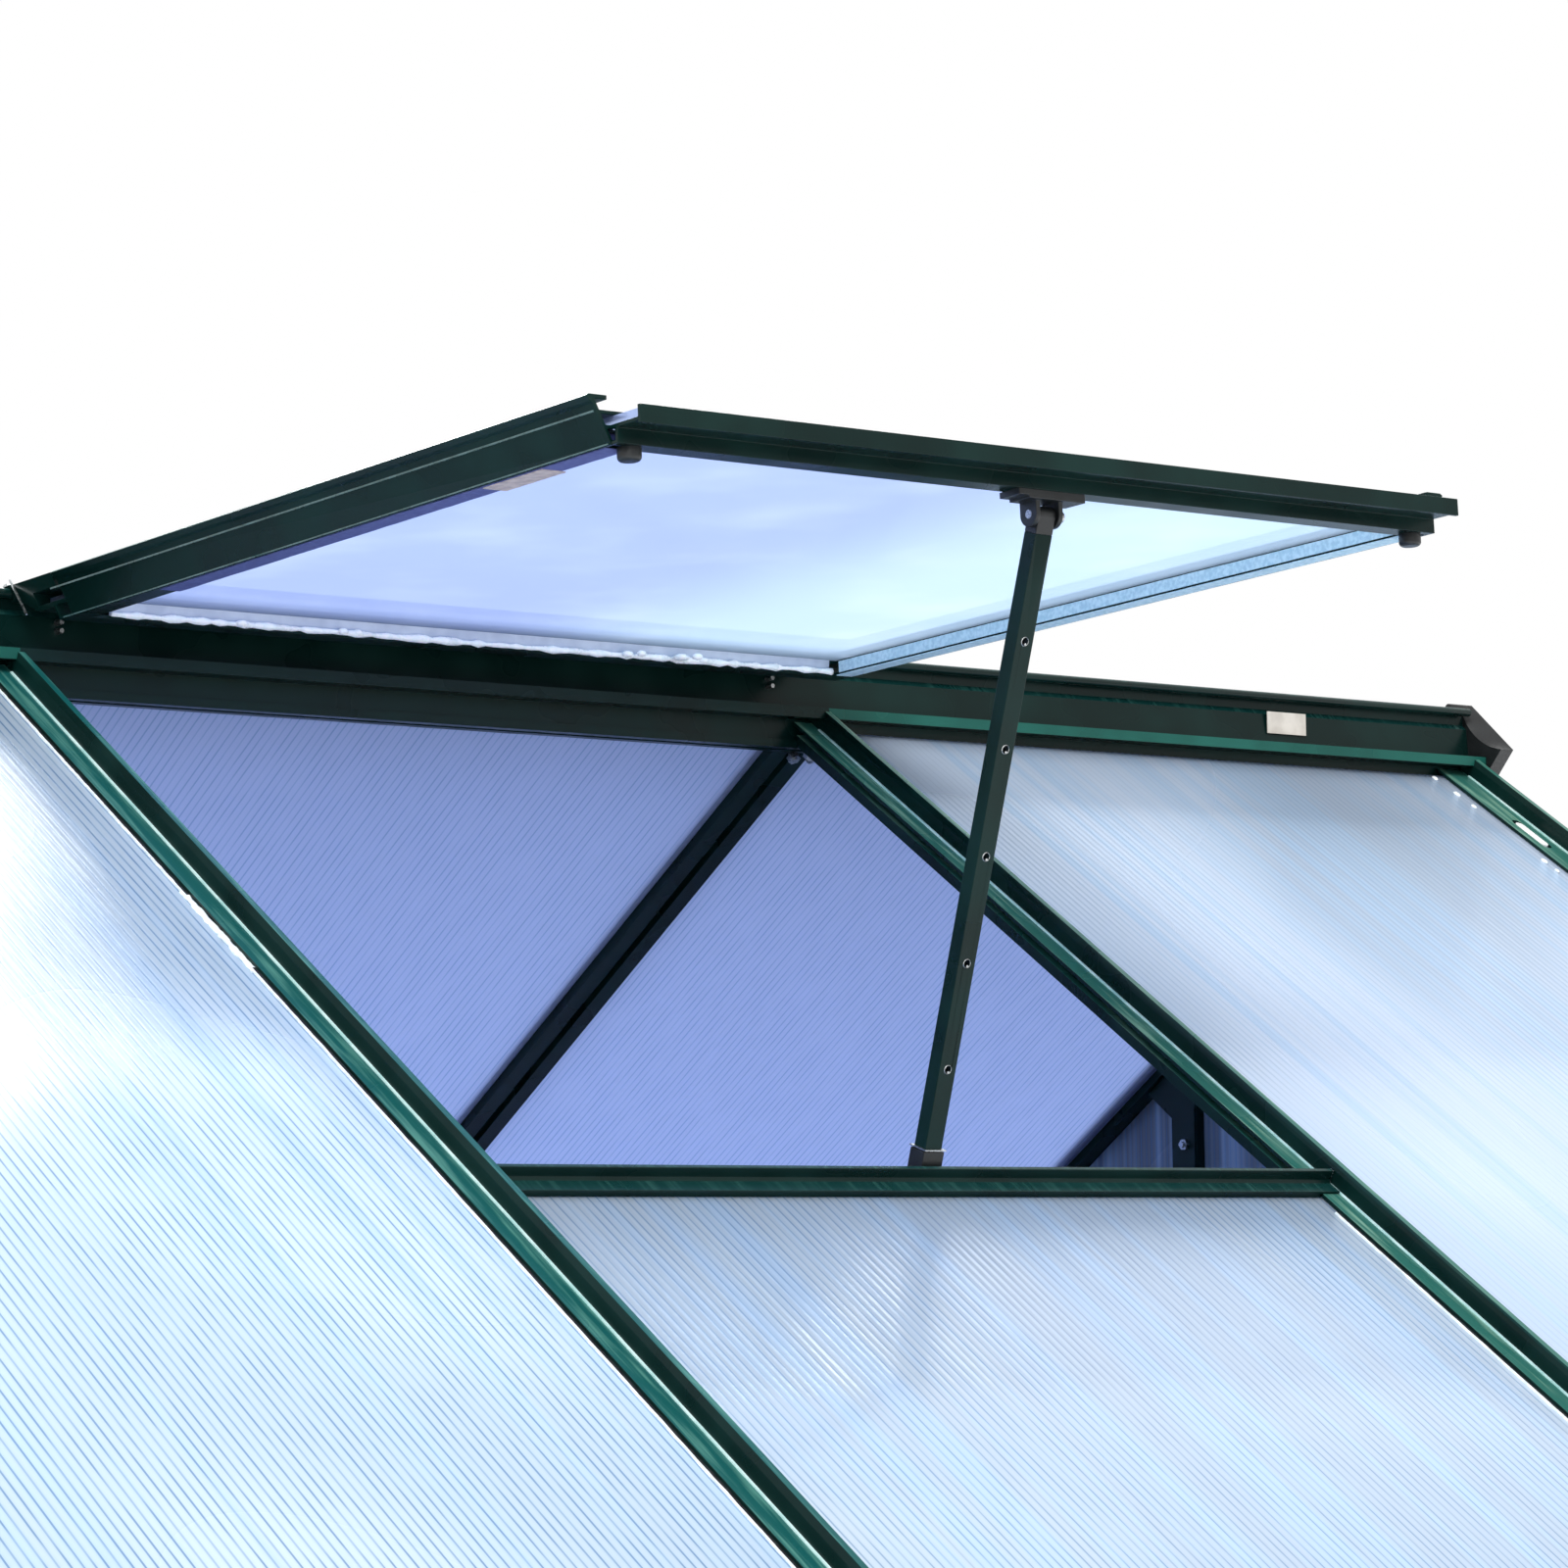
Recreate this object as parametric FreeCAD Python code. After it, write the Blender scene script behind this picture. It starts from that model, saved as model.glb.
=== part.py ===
"""Gable roof of a small walk-in greenhouse, with one opening roof vent.

The roof stands on its eave rails.  X runs along the ridge, -Y is the slope with the
vent, +Z is up.  The origin is the middle of the footprint, at floor level.

Three frames are used:
  world   X, Y, Z as above;
  slope   x, s, n: s runs down the slope from the apex line, n outwards from the plane
          of the rafter crests.  The far slope (+Y) is modelled, the near one mirrored;
  vent    x, a, v: origin on the hinge axis, -a runs out along the open vent, v is up
          through it.
"""
import FreeCAD
import Part

import math
import os

from FreeCAD import Placement, Rotation, Vector

os.makedirs("parts", exist_ok=True)

# ---- overall ------------------------------------------------------------------------
BAY = 620.0                # rafter centre to rafter centre
BAYS = 3                   # bays along the ridge, with the vent in the middle one
PITCH = 33.6               # slope of the roof, degrees
HALF_SPAN = 930.0          # ridge centre line to the inside of the eave upstand
EAVE_EDGE_HEIGHT = 25.0    # top outer edge of the eave rail's body above the floor

# ---- glazing bars (rafters), heights measured down from the fin's crest -------------
FIN_HEIGHT = 13.0
FIN_HALF = 3.5
CREST_HALF = 2.2           # the fin narrows over its last stretch
CREST_TAPER = 4.0
CAP_HALF = 18.5            # the flange that laps the panels
CAP_THICKNESS = 2.2
PANEL_THICKNESS = 4.0
PANEL_GAP = 0.5            # above and below a panel in its groove
FOOT_HALF = 16.5           # the inner box with the bolt slot
FOOT_DEPTH = 6.5
SLOT_HALF = 3.2            # bolt slot along the inner box
SLOT_DEPTH = 4.5
PANEL_EDGE_GAP = 2.0       # panel edge to the rafter's web
GABLE_CAP_INNER = 28.0     # a gable rafter's flange is wide inside and narrow outside
GABLE_OUTER = 9.0
GABLE_SLOT_LENGTH = 42.0   # slotted hole in the wide flange, near the ridge
GABLE_SLOT_WIDTH = 8.0
GABLE_SLOT_IN = 16.6       # its centre line in from the crest
GABLE_SLOT_DOWN = 123.0    # its middle down the slope

# ---- ridge beam, heights measured from the apex of the crests -----------------------
RIDGE_TOP = 23.5
RIDGE_TOP_HALF = 2.5       # thin upstand that carries the hinge beads
RIDGE_UPSTAND_FOOT = 11.0
RIDGE_WAIST_HALF = 6.0     # half width of the body at the foot of the upstand
RIDGE_NECK_HALF = 8.0      # and above the lip
LIP_TOP = -14.7
LIP_THICKNESS = 7.5
LIP_HALF = 26.0
RIDGE_KEEL_HALF = 9.5      # body below the lip
RIDGE_FOOT_HALF = 12.5     # flange along its foot
RIDGE_FOOT_HEIGHT = 5.5
RIDGE_FOOT = -41.5
CAP_CURVE_LIMIT = 0.05     # bow of a shoulder's straight outer edge
RIDGE_SLOT_HALF = 3.5      # bolt slot on the underside
RIDGE_SLOT_DEPTH = 8.0
RIDGE_OVERHANG = 10.0      # past the gable rafters' centre lines
CAP_PLATE = 13.0           # thickness of the moulded end caps
CAP_PEAK = 27.0            # top of an end cap above the apex
CAP_SLOPE = 41.9           # slope of an end cap's shoulders, degrees
CAP_REACH = 41.5           # tip of an end cap from the centre line
CAP_END = 24.5             # length of its end edge, square to the shoulder
CAP_SCOOP = 8.5            # how far the inner edge of a shoulder is scooped out
CAP_FOOT_GAP = 0.5         # an end cap's foot above the ridge beam's
CAP_TONGUE_HALF = 3.5      # rounded tongue over the ridge's top
CAP_TONGUE_LENGTH = 12.0

# ---- vent hinge ----------------------------------------------------------------------
HINGE_OUT = 9.0            # hinge axis out from the centre line
HINGE_UP = 20.0            # and above the apex
BEAD_RADIUS = 3.0          # round bead that the vent's curl turns on
BEAD_WEB = 2.0             # thickness of the web that carries the bead
CURL_CLEARANCE = 0.3
CURL_WALL = 2.2
CURL_MOUTH_LOW = -64.0     # the mouth of the curl, from the inward horizontal, degrees
CURL_MOUTH_HIGH = 27.0

# ---- vent, lengths measured out from the hinge axis -----------------------------------
VENT_OPENING = 36.7        # angle between the open vent and the slope, degrees
VENT_SIDE_CLEARANCE = 8.9  # vent to the fins of the rafters beside it
VENT_LENGTH = 598.0        # to the outer face of the free edge's web
VENT_UNDERSIDE = 22.0      # underside of the vent's frame below the hinge axis
RAIL_HEIGHT = 26.0
RAIL_WALL = 2.4
RAIL_FLARE = 13.0          # a side rail leans out by this much at its top
RAIL_NOSE = 5.0            # height of the rounded nose along its top
RAIL_NOSE_OUT = 2.0
RAIL_RETURN = 8.0          # inward return of the nose
RAIL_FREE_GAP = 6.0        # a side rail's end to the face of the free edge's web
STRIP_WIDTH = 14.5         # inner lip on the underside of the frame
STRIP_THICKNESS = 2.0
PANE_THICKNESS = 5.0
PANE_HEIGHT = 10.7         # underside of the pane above the frame's underside
PANE_GRIP = 11.5           # inner edge of the rails' grips from the frame's outer face
PANE_CLEARANCE = 0.3
GRIP_THICKNESS = 2.0
HINGE_WALL_OUT = 22.0      # foot of the sloping wall below the curl
HINGE_WALL_DROP = 14.2
HINGE_STEP_OUT = 40.0      # where the rail steps down to its inner lip
HINGE_TOP = 3.8            # top of the hinge rail's cover above the axis
HINGE_COVER = 54.0         # outer edge of the cover
DRIP_REACH = 20.0          # free edge's web to the drip fascia
DRIP_BELOW = 1.5           # fascia below the underside of the flange
DRIP_HEIGHT = 10.0
PLUG_LENGTH = 14.0         # moulded end plugs of the free edge
PLUG_DEPTH = 10.0
BUMPER_DROP = 7.5
BUMPER_RADIUS = 6.5
BUMPER_IN = 13.0           # centre of a bumper from the side of the vent
BUMPER_BACK = 8.0          # and from the face of the free edge's web
BUMPER_ROUND = 2.5

# ---- stay ----------------------------------------------------------------------------
STAY_PIVOT_IN = 10.0       # in from the face of the free edge's web
STAY_PIVOT_DROP = 12.0     # below the vent's underside
STAY_WIDTH = 12.0
STAY_DEPTH = 10.0
STAY_WALL = 1.4
STAY_HOLES = 5
STAY_HOLE_FIRST = 70.0     # from the pivot
STAY_HOLE_PITCH = 61.0
STAY_HOLE_RADIUS = 2.4
STAY_HEAD_ROUND = 5.0      # rounded end of the head past the pivot
STAY_TUBE_START = 10.0     # pivot to the end of the tube
STAY_PLUG = 12.0           # head and tube overlap
STAY_FOOT_LENGTH = 15.0
STAY_FOOT_WALL = 1.3
STAY_SILL_GAP = 3.0        # foot cap to the sill, where it is hooked on
STAY_FOOT_SINK = 14.0      # foot below the plane of the crests
PIN_RADIUS = 2.5
PIN_CLEARANCE = 0.1
PIN_HEAD_RADIUS = 3.2
PIN_STUB = 4.5             # pin past the ears
EAR_THICKNESS = 2.9
EAR_GAP = 0.8              # ear to head
EAR_HALF = 7.0
BRACKET_HALF = 24.0
BRACKET_PLATE = 5.0
BRACKET_WIDTH = 17.0
BRACKET_NOTCH = 7.0        # thinner end of the bracket's base
BRACKET_NOTCH_DEPTH = 1.5

# ---- sill under the vent -------------------------------------------------------------
SILL_FACE = 606.0          # outer face of the upstand, down the slope from the apex
SILL_UPSTAND = 3.0
SILL_RISE = 9.2            # upstand above the rafters' flanges
SILL_FLANGE = 11.0         # flange below the upstand, over the panel
SILL_END_GAP = 2.0         # sill to the fins
SILL_DEPTH = 27.0          # channel below the flange
SILL_CHANNEL = 13.0
SILL_WALL = 2.2
SILL_BEND = 1.6            # rounded corner at the foot of the upstand

# ---- eave and gables -----------------------------------------------------------------
EAVE_WIDTH = 30.0
EAVE_UPSTAND = 3.0
EAVE_OVERHANG = 10.0       # past the gable rafters' centre lines
TIE_HEIGHT = 40.0
TIE_THICKNESS = 20.0
STUD_OUT = 290.0           # gable studs from the centre line
STUD_WIDTH = 26.0
STUD_THICKNESS = 20.0
GABLE_PANEL = 4.0
GUSSET_THICKNESS = 2.5
GUSSET_HALF = 40.0
GUSSET_DROP = 92.0         # below the rafter's underside at the stud
GUSSET_FOOT_HALF = 13.0

# ---- worked out ----------------------------------------------------------------------
COS = math.cos(math.radians(PITCH))
SIN = math.sin(math.radians(PITCH))
TAN = SIN / COS
HALF_LENGTH = BAY * BAYS / 2
CAP_LEVEL = -FIN_HEIGHT
GROOVE_TOP = CAP_LEVEL - CAP_THICKNESS
GROOVE_BOTTOM = GROOVE_TOP - PANEL_THICKNESS - 2 * PANEL_GAP
RAFTER_UNDERSIDE = GROOVE_BOTTOM - FOOT_DEPTH
PANEL_TOP = GROOVE_TOP - PANEL_GAP
PANEL_UNDERSIDE = PANEL_TOP - PANEL_THICKNESS
APEX = EAVE_EDGE_HEIGHT + HALF_SPAN * TAN - RAFTER_UNDERSIDE / COS
SLOPE_RUN = (HALF_SPAN + 2 * EAVE_WIDTH) / COS
VENT_TILT = VENT_OPENING - PITCH
VENT_HALF = BAY / 2 - FIN_HALF - VENT_SIDE_CLEARANCE
RAFTER_X = [-HALF_LENGTH + BAY * i for i in range(BAYS + 1)]
HINGE = Vector(0, -HINGE_OUT, APEX + HINGE_UP)
SILL_INNER = SILL_FACE - SILL_UPSTAND


def prism_x(outline, x0, x1):
    """A solid with a (y, z) outline, from x0 to x1."""
    points = [Vector(x0, y, z) for y, z in outline]
    return Part.Face(Part.makePolygon(points + points[:1])).extrude(Vector(x1 - x0, 0, 0))


def prism_y(outline, y0, y1):
    """A solid with an (x, z) outline, from y0 to y1."""
    points = [Vector(x, y0, z) for x, z in outline]
    return Part.Face(Part.makePolygon(points + points[:1])).extrude(Vector(0, y1 - y0, 0))


def block(x0, x1, y0, y1, z0, z1):
    """A box between two corners."""
    return Part.makeBox(x1 - x0, y1 - y0, z1 - z0, Vector(x0, y0, z0))


def on_far_slope(shape):
    """Place a shape drawn in the slope frame on the far (+Y) slope."""
    shape.Placement = Placement(Vector(0, 0, APEX), Rotation(Vector(1, 0, 0), -PITCH))
    return shape


def near(shape):
    """Mirror a shape from the far slope to the near one."""
    return shape.mirror(Vector(0, 0, 0), Vector(0, 1, 0))


def on_vent(shape):
    """Place a shape drawn in the vent frame on the open vent."""
    shape.Placement = Placement(HINGE, Rotation(Vector(1, 0, 0), -VENT_TILT))
    return shape


def save(name, shape):
    shape.exportStep("parts/" + name + ".step")


def mirrored_outline(half):
    """Close a right-hand outline with its mirror image."""
    return half + [(-x, z) for x, z in reversed(half) if x != 0]


# ---- ridge ---------------------------------------------------------------------------
def ridge_outline():
    """The beam's outline without its beads and slot, as (y, z)."""
    lip_foot = LIP_TOP - LIP_THICKNESS
    half = [
        (RIDGE_TOP_HALF, RIDGE_TOP),
        (RIDGE_TOP_HALF, RIDGE_UPSTAND_FOOT),
        (RIDGE_WAIST_HALF, RIDGE_UPSTAND_FOOT - RIDGE_WAIST_HALF + RIDGE_TOP_HALF),
        (RIDGE_NECK_HALF, LIP_TOP),
        (LIP_HALF, LIP_TOP),
        (LIP_HALF, lip_foot),
        (RIDGE_KEEL_HALF, lip_foot),
        (RIDGE_KEEL_HALF, RIDGE_FOOT + RIDGE_FOOT_HEIGHT),
        (RIDGE_FOOT_HALF, RIDGE_FOOT + RIDGE_FOOT_HEIGHT),
        (RIDGE_FOOT_HALF, RIDGE_FOOT),
    ]
    return [(y, APEX + z) for y, z in mirrored_outline(half)]


def ridge_envelope():
    """What the far rafters and panels stop at: the lip, and all this side of the foot."""
    reach = HALF_LENGTH + BAY
    lip_foot = APEX + LIP_TOP - LIP_THICKNESS
    above = block(-reach, reach, -BAY, LIP_HALF, lip_foot, APEX + BAY)
    below = block(-reach, reach, -BAY, RIDGE_FOOT_HALF, -BAY, lip_foot)
    return above.fuse(below)


def ridge_beam():
    end = HALF_LENGTH + RIDGE_OVERHANG
    beam = prism_x(ridge_outline(), -end, end)
    for side in (-1, 1):
        axis = Vector(-end, side * HINGE_OUT, APEX + HINGE_UP)
        bead = Part.makeCylinder(BEAD_RADIUS, 2 * end, axis, Vector(1, 0, 0))
        inner, outer = sorted((0.0, side * HINGE_OUT))
        web = block(-end, end, inner, outer, axis.z - BEAD_WEB / 2, axis.z + BEAD_WEB / 2)
        beam = beam.fuse(web).fuse(bead)
    slot_top = APEX + RIDGE_FOOT + RIDGE_SLOT_DEPTH
    slot = block(-end, end, -RIDGE_SLOT_HALF, RIDGE_SLOT_HALF, APEX + RIDGE_FOOT, slot_top)
    return beam.cut(slot).removeSplitter()


def cap_wire(x, scoop):
    """An end cap's outline at x, its shoulders scooped out by that much."""
    run = math.cos(math.radians(CAP_SLOPE))
    rise = math.sin(math.radians(CAP_SLOPE))
    tip_z = CAP_PEAK - CAP_REACH * rise / run
    end_y = CAP_REACH - CAP_END * rise
    end_z = tip_z - CAP_END * run
    foot = RIDGE_FOOT + CAP_FOOT_GAP

    def point(y, z):
        return Vector(x, y, APEX + z)

    middle_y = CAP_REACH / 2 - scoop * rise
    middle_z = (CAP_PEAK + tip_z) / 2 - scoop * run
    peak = point(0, CAP_PEAK)
    edges = []
    for side in (1, -1):
        tip = point(side * CAP_REACH, tip_z)
        shoulder = Part.Arc(peak, point(side * middle_y, middle_z), tip)
        end = point(side * end_y, end_z)
        low = point(side * RIDGE_FOOT_HALF, foot)
        half = [shoulder.toShape(), Part.makeLine(tip, end), Part.makeLine(end, low)]
        edges.append(half)
    base = Part.makeLine(point(RIDGE_FOOT_HALF, foot), point(-RIDGE_FOOT_HALF, foot))
    return Part.Wire(Part.__sortEdges__(edges[0] + [base] + edges[1]))


def ridge_cap(side):
    """A moulded end cap: shoulders scooped on the inside, and a tongue over the ridge."""
    face = side * (HALF_LENGTH + RIDGE_OVERHANG)
    outer = face + side * CAP_PLATE
    barely = CAP_CURVE_LIMIT
    cap = Part.makeLoft([cap_wire(face, CAP_SCOOP), cap_wire(outer, barely)], True, True)
    low = APEX + RIDGE_TOP
    radius = CAP_TONGUE_HALF
    x0, x1 = sorted((face - side * CAP_TONGUE_LENGTH, outer - side * CAP_PLATE / 2))
    tongue = Part.makeCylinder(radius, x1 - x0, Vector(x0, 0, low), Vector(1, 0, 0))
    tongue = tongue.cut(block(x0, x1, -radius, radius, low - radius, low))
    return cap.fuse(tongue).removeSplitter()


# ---- rafters and panels --------------------------------------------------------------
def rafter_half(cap_half, foot_half):
    """The right half of a rafter's section, for its flange and foot half widths."""
    return [
        (CREST_HALF, 0.0),
        (FIN_HALF, -CREST_TAPER),
        (FIN_HALF, CAP_LEVEL),
        (cap_half, CAP_LEVEL),
        (cap_half, GROOVE_TOP),
        (FIN_HALF, GROOVE_TOP),
        (FIN_HALF, GROOVE_BOTTOM),
        (foot_half, GROOVE_BOTTOM),
        (foot_half, RAFTER_UNDERSIDE),
        (SLOT_HALF, RAFTER_UNDERSIDE),
        (SLOT_HALF, RAFTER_UNDERSIDE + SLOT_DEPTH),
    ]


def roof_end(y):
    """Everything past a vertical plane at y, for cutting the far slope's ends."""
    reach = HALF_LENGTH + BAY
    return block(-reach, reach, y, y + BAY, -BAY, APEX + BAY)


def gable_slot(x):
    """The slotted hole through a gable rafter's flange, centred on x."""
    half = GABLE_SLOT_WIDTH / 2
    reach = (GABLE_SLOT_LENGTH - GABLE_SLOT_WIDTH) / 2
    s0 = GABLE_SLOT_DOWN - reach
    s1 = GABLE_SLOT_DOWN + reach
    hole = block(x - half, x + half, s0, s1, GROOVE_TOP, CAP_LEVEL)
    for s in (s0, s1):
        hole = hole.fuse(Part.makeCylinder(half, CAP_THICKNESS, Vector(x, s, GROOVE_TOP)))
    return hole


def rafter(x):
    plain = rafter_half(CAP_HALF, FOOT_HALF)
    wide = rafter_half(GABLE_CAP_INNER, FOOT_HALF)
    narrow = rafter_half(GABLE_OUTER, GABLE_OUTER)
    inward = 0
    right, left = plain, plain
    if x == RAFTER_X[0]:
        inward = 1
        right, left = wide, narrow
    if x == RAFTER_X[-1]:
        inward = -1
        right, left = narrow, wide
    outline = [(x + dx, n) for dx, n in right] + [(x - dx, n) for dx, n in reversed(left)]
    bar = prism_y(outline, 0.0, SLOPE_RUN)
    if inward:
        bar = bar.cut(gable_slot(x + inward * GABLE_SLOT_IN))
    return on_far_slope(bar).cut(ridge_envelope()).cut(roof_end(HALF_SPAN))


def bay_panel(bay, s0):
    """The sheet between two rafters, from s0 down the slope to the eave."""
    x0 = RAFTER_X[bay] + FIN_HALF + PANEL_EDGE_GAP
    x1 = RAFTER_X[bay + 1] - FIN_HALF - PANEL_EDGE_GAP
    sheet = on_far_slope(block(x0, x1, s0, SLOPE_RUN, PANEL_UNDERSIDE, PANEL_TOP))
    return sheet.cut(roof_end(HALF_SPAN))


# ---- eave and gables -----------------------------------------------------------------
def underside_height(y):
    """Height of the rafters' underside at y."""
    return APEX - abs(y) * TAN + RAFTER_UNDERSIDE / COS


def eave_rail():
    inner = HALF_SPAN - EAVE_WIDTH
    outer = HALF_SPAN + EAVE_UPSTAND
    cap_height = APEX - HALF_SPAN * TAN + CAP_LEVEL / COS
    outline = [
        (inner, 0.0),
        (outer, 0.0),
        (outer, cap_height),
        (HALF_SPAN, cap_height),
        (HALF_SPAN, underside_height(HALF_SPAN)),
        (inner, underside_height(inner)),
    ]
    end = HALF_LENGTH + EAVE_OVERHANG
    return prism_x(outline, -end, end)


def gable_tie(side):
    half = TIE_THICKNESS / 2
    inner = HALF_SPAN - EAVE_WIDTH
    x = side * HALF_LENGTH
    return block(x - half, x + half, -inner, inner, 0.0, TIE_HEIGHT)


def gable_stud(side):
    """The far stud of a gable, cut to the slope at its top."""
    x = side * HALF_LENGTH
    y0 = STUD_OUT - STUD_WIDTH / 2
    y1 = STUD_OUT + STUD_WIDTH / 2
    outline = [
        (y0, TIE_HEIGHT),
        (y1, TIE_HEIGHT),
        (y1, underside_height(y1)),
        (y0, underside_height(y0)),
    ]
    return prism_x(outline, x - STUD_THICKNESS / 2, x + STUD_THICKNESS / 2)


def gusset(side):
    """The far corner plate of a gable, on the inner face of the stud and rafter."""
    x = side * (HALF_LENGTH - STUD_THICKNESS / 2)
    y0 = STUD_OUT - GUSSET_HALF
    y1 = STUD_OUT + GUSSET_HALF
    foot = underside_height(STUD_OUT) - GUSSET_DROP
    outline = [
        (STUD_OUT - GUSSET_FOOT_HALF, foot),
        (STUD_OUT + GUSSET_FOOT_HALF, foot),
        (STUD_OUT + GUSSET_FOOT_HALF, underside_height(y1) - GUSSET_HALF / 2),
        (y1, underside_height(y1)),
        (y0, underside_height(y0)),
        (STUD_OUT - GUSSET_FOOT_HALF, underside_height(STUD_OUT) - GUSSET_HALF),
    ]
    return prism_x(outline, x - side * GUSSET_THICKNESS, x)


def gable_panel(side):
    """The three sheets of a gable: one between the studs and one outside each."""
    x = side * HALF_LENGTH
    x0 = x - GABLE_PANEL / 2
    x1 = x + GABLE_PANEL / 2
    inner = STUD_OUT - STUD_WIDTH / 2
    outer = STUD_OUT + STUD_WIDTH / 2
    corner = min(HALF_SPAN - EAVE_WIDTH, (APEX + RAFTER_UNDERSIDE / COS - TIE_HEIGHT) / TAN)
    top = APEX + RIDGE_FOOT
    shoulder = (APEX + RAFTER_UNDERSIDE / COS - top) / TAN
    middle = [
        (inner, TIE_HEIGHT),
        (inner, underside_height(inner)),
        (max(shoulder, 0.0), min(top, underside_height(0.0))),
    ]
    middle = middle + [(-y, z) for y, z in reversed(middle)]
    side_sheet = [
        (outer, TIE_HEIGHT),
        (corner, TIE_HEIGHT),
        (corner, underside_height(corner)),
        (outer, underside_height(outer)),
    ]
    sheets = [prism_x(middle, x0, x1), prism_x(side_sheet, x0, x1)]
    sheets.append(near(sheets[1]))
    return Part.makeCompound(sheets)


# ---- sill ----------------------------------------------------------------------------
def vent_sill():
    """The bar under the vent: an upstand and flange over a channel between the rafters."""
    half = BAY / 2 - FIN_HALF - SILL_END_GAP
    channel_half = BAY / 2 - CAP_HALF - PANEL_GAP
    top = CAP_LEVEL + SILL_RISE
    face = SILL_FACE
    outline = [
        (SILL_INNER, CAP_LEVEL),
        (face + SILL_FLANGE, CAP_LEVEL),
        (face + SILL_FLANGE, CAP_LEVEL + SILL_BEND),
        (face + SILL_BEND, CAP_LEVEL + SILL_BEND),
        (face, CAP_LEVEL + 2 * SILL_BEND),
        (face, top),
        (SILL_INNER, top),
    ]
    bar = prism_x(outline, -half, half)
    foot = CAP_LEVEL - SILL_DEPTH
    s_in = SILL_INNER + SILL_CHANNEL
    channel = block(-channel_half, channel_half, SILL_INNER, s_in, foot, CAP_LEVEL)
    hollow = block(-channel_half, channel_half, SILL_INNER + SILL_WALL, s_in - SILL_WALL,
                   foot, CAP_LEVEL - SILL_WALL)
    return on_far_slope(bar.fuse(channel).cut(hollow).removeSplitter())


# ---- vent ----------------------------------------------------------------------------
def prism_vent_x(outline, x0, x1):
    """A vent piece with an outline of (distance out from the hinge, v)."""
    return prism_x([(-out, v) for out, v in outline], x0, x1)


def level(height):
    """Height in the vent frame of a height above the vent's underside."""
    return height - VENT_UNDERSIDE


GRIP_LOW = PANE_HEIGHT - PANE_CLEARANCE
GRIP_HIGH = PANE_HEIGHT + PANE_THICKNESS + PANE_CLEARANCE


def flare_cutter(side):
    """Everything outside a side rail's leaning outer face, in the vent frame."""
    slope = RAIL_FLARE / RAIL_HEIGHT
    low = -RAIL_HEIGHT
    high = 2 * RAIL_HEIGHT
    outline = [
        (side * (VENT_HALF + low * slope), level(low)),
        (side * (VENT_HALF + high * slope), level(high)),
        (side * (VENT_HALF + BAY), level(high)),
        (side * (VENT_HALF + BAY), level(low)),
    ]
    return prism_y(outline, -VENT_LENGTH, VENT_LENGTH)


def hinge_rail():
    """The rail along the ridge, with the curl that turns on the ridge's bead."""
    reach = VENT_HALF + RAIL_FLARE
    inner_radius = BEAD_RADIUS + CURL_CLEARANCE
    outer_radius = inner_radius + CURL_WALL
    wall = RAIL_WALL
    start = Vector(-reach, 0, 0)
    along = Vector(1, 0, 0)
    curl = Part.makeCylinder(outer_radius, 2 * reach, start, along)
    mouth = []
    steps = 4
    for i in range(steps + 1):
        angle = CURL_MOUTH_LOW + (CURL_MOUTH_HIGH - CURL_MOUTH_LOW) * i / steps
        angle = math.radians(angle)
        mouth.append((2 * outer_radius * math.cos(angle), 2 * outer_radius * math.sin(angle)))
    wedge = prism_x([(0.0, 0.0)] + mouth, -reach, reach)
    floor = -HINGE_WALL_DROP
    grip_top = level(GRIP_HIGH) + GRIP_THICKNESS
    back = HINGE_WALL_OUT + wall
    outline = [
        (inner_radius, HINGE_TOP),
        (HINGE_COVER, HINGE_TOP),
        (HINGE_COVER, HINGE_TOP - wall),
        (HINGE_COVER - wall, HINGE_TOP - wall),
        (HINGE_COVER - wall, level(GRIP_HIGH)),
        (HINGE_COVER - 2 * wall, level(GRIP_HIGH)),
        (HINGE_COVER - 2 * wall, grip_top),
        (back, grip_top),
        (back, level(GRIP_LOW)),
        (HINGE_STEP_OUT + STRIP_WIDTH, level(GRIP_LOW)),
        (HINGE_STEP_OUT + STRIP_WIDTH, level(GRIP_LOW) - GRIP_THICKNESS),
        (HINGE_STEP_OUT + wall, level(GRIP_LOW) - GRIP_THICKNESS),
        (HINGE_STEP_OUT + wall, level(STRIP_THICKNESS)),
        (HINGE_STEP_OUT + STRIP_WIDTH, level(STRIP_THICKNESS)),
        (HINGE_STEP_OUT + STRIP_WIDTH, level(0.0)),
        (HINGE_STEP_OUT, level(0.0)),
        (HINGE_STEP_OUT, floor),
        (HINGE_WALL_OUT, floor),
        (inner_radius, -inner_radius),
    ]
    body = prism_vent_x(outline, -reach, reach)
    rail = body.fuse(curl)
    bore = Part.makeCylinder(inner_radius, 2 * reach, start, along)
    rail = rail.cut(bore).cut(wedge)
    for side in (-1, 1):
        rail = rail.cut(flare_cutter(side))
    return on_vent(rail.removeSplitter())


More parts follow.
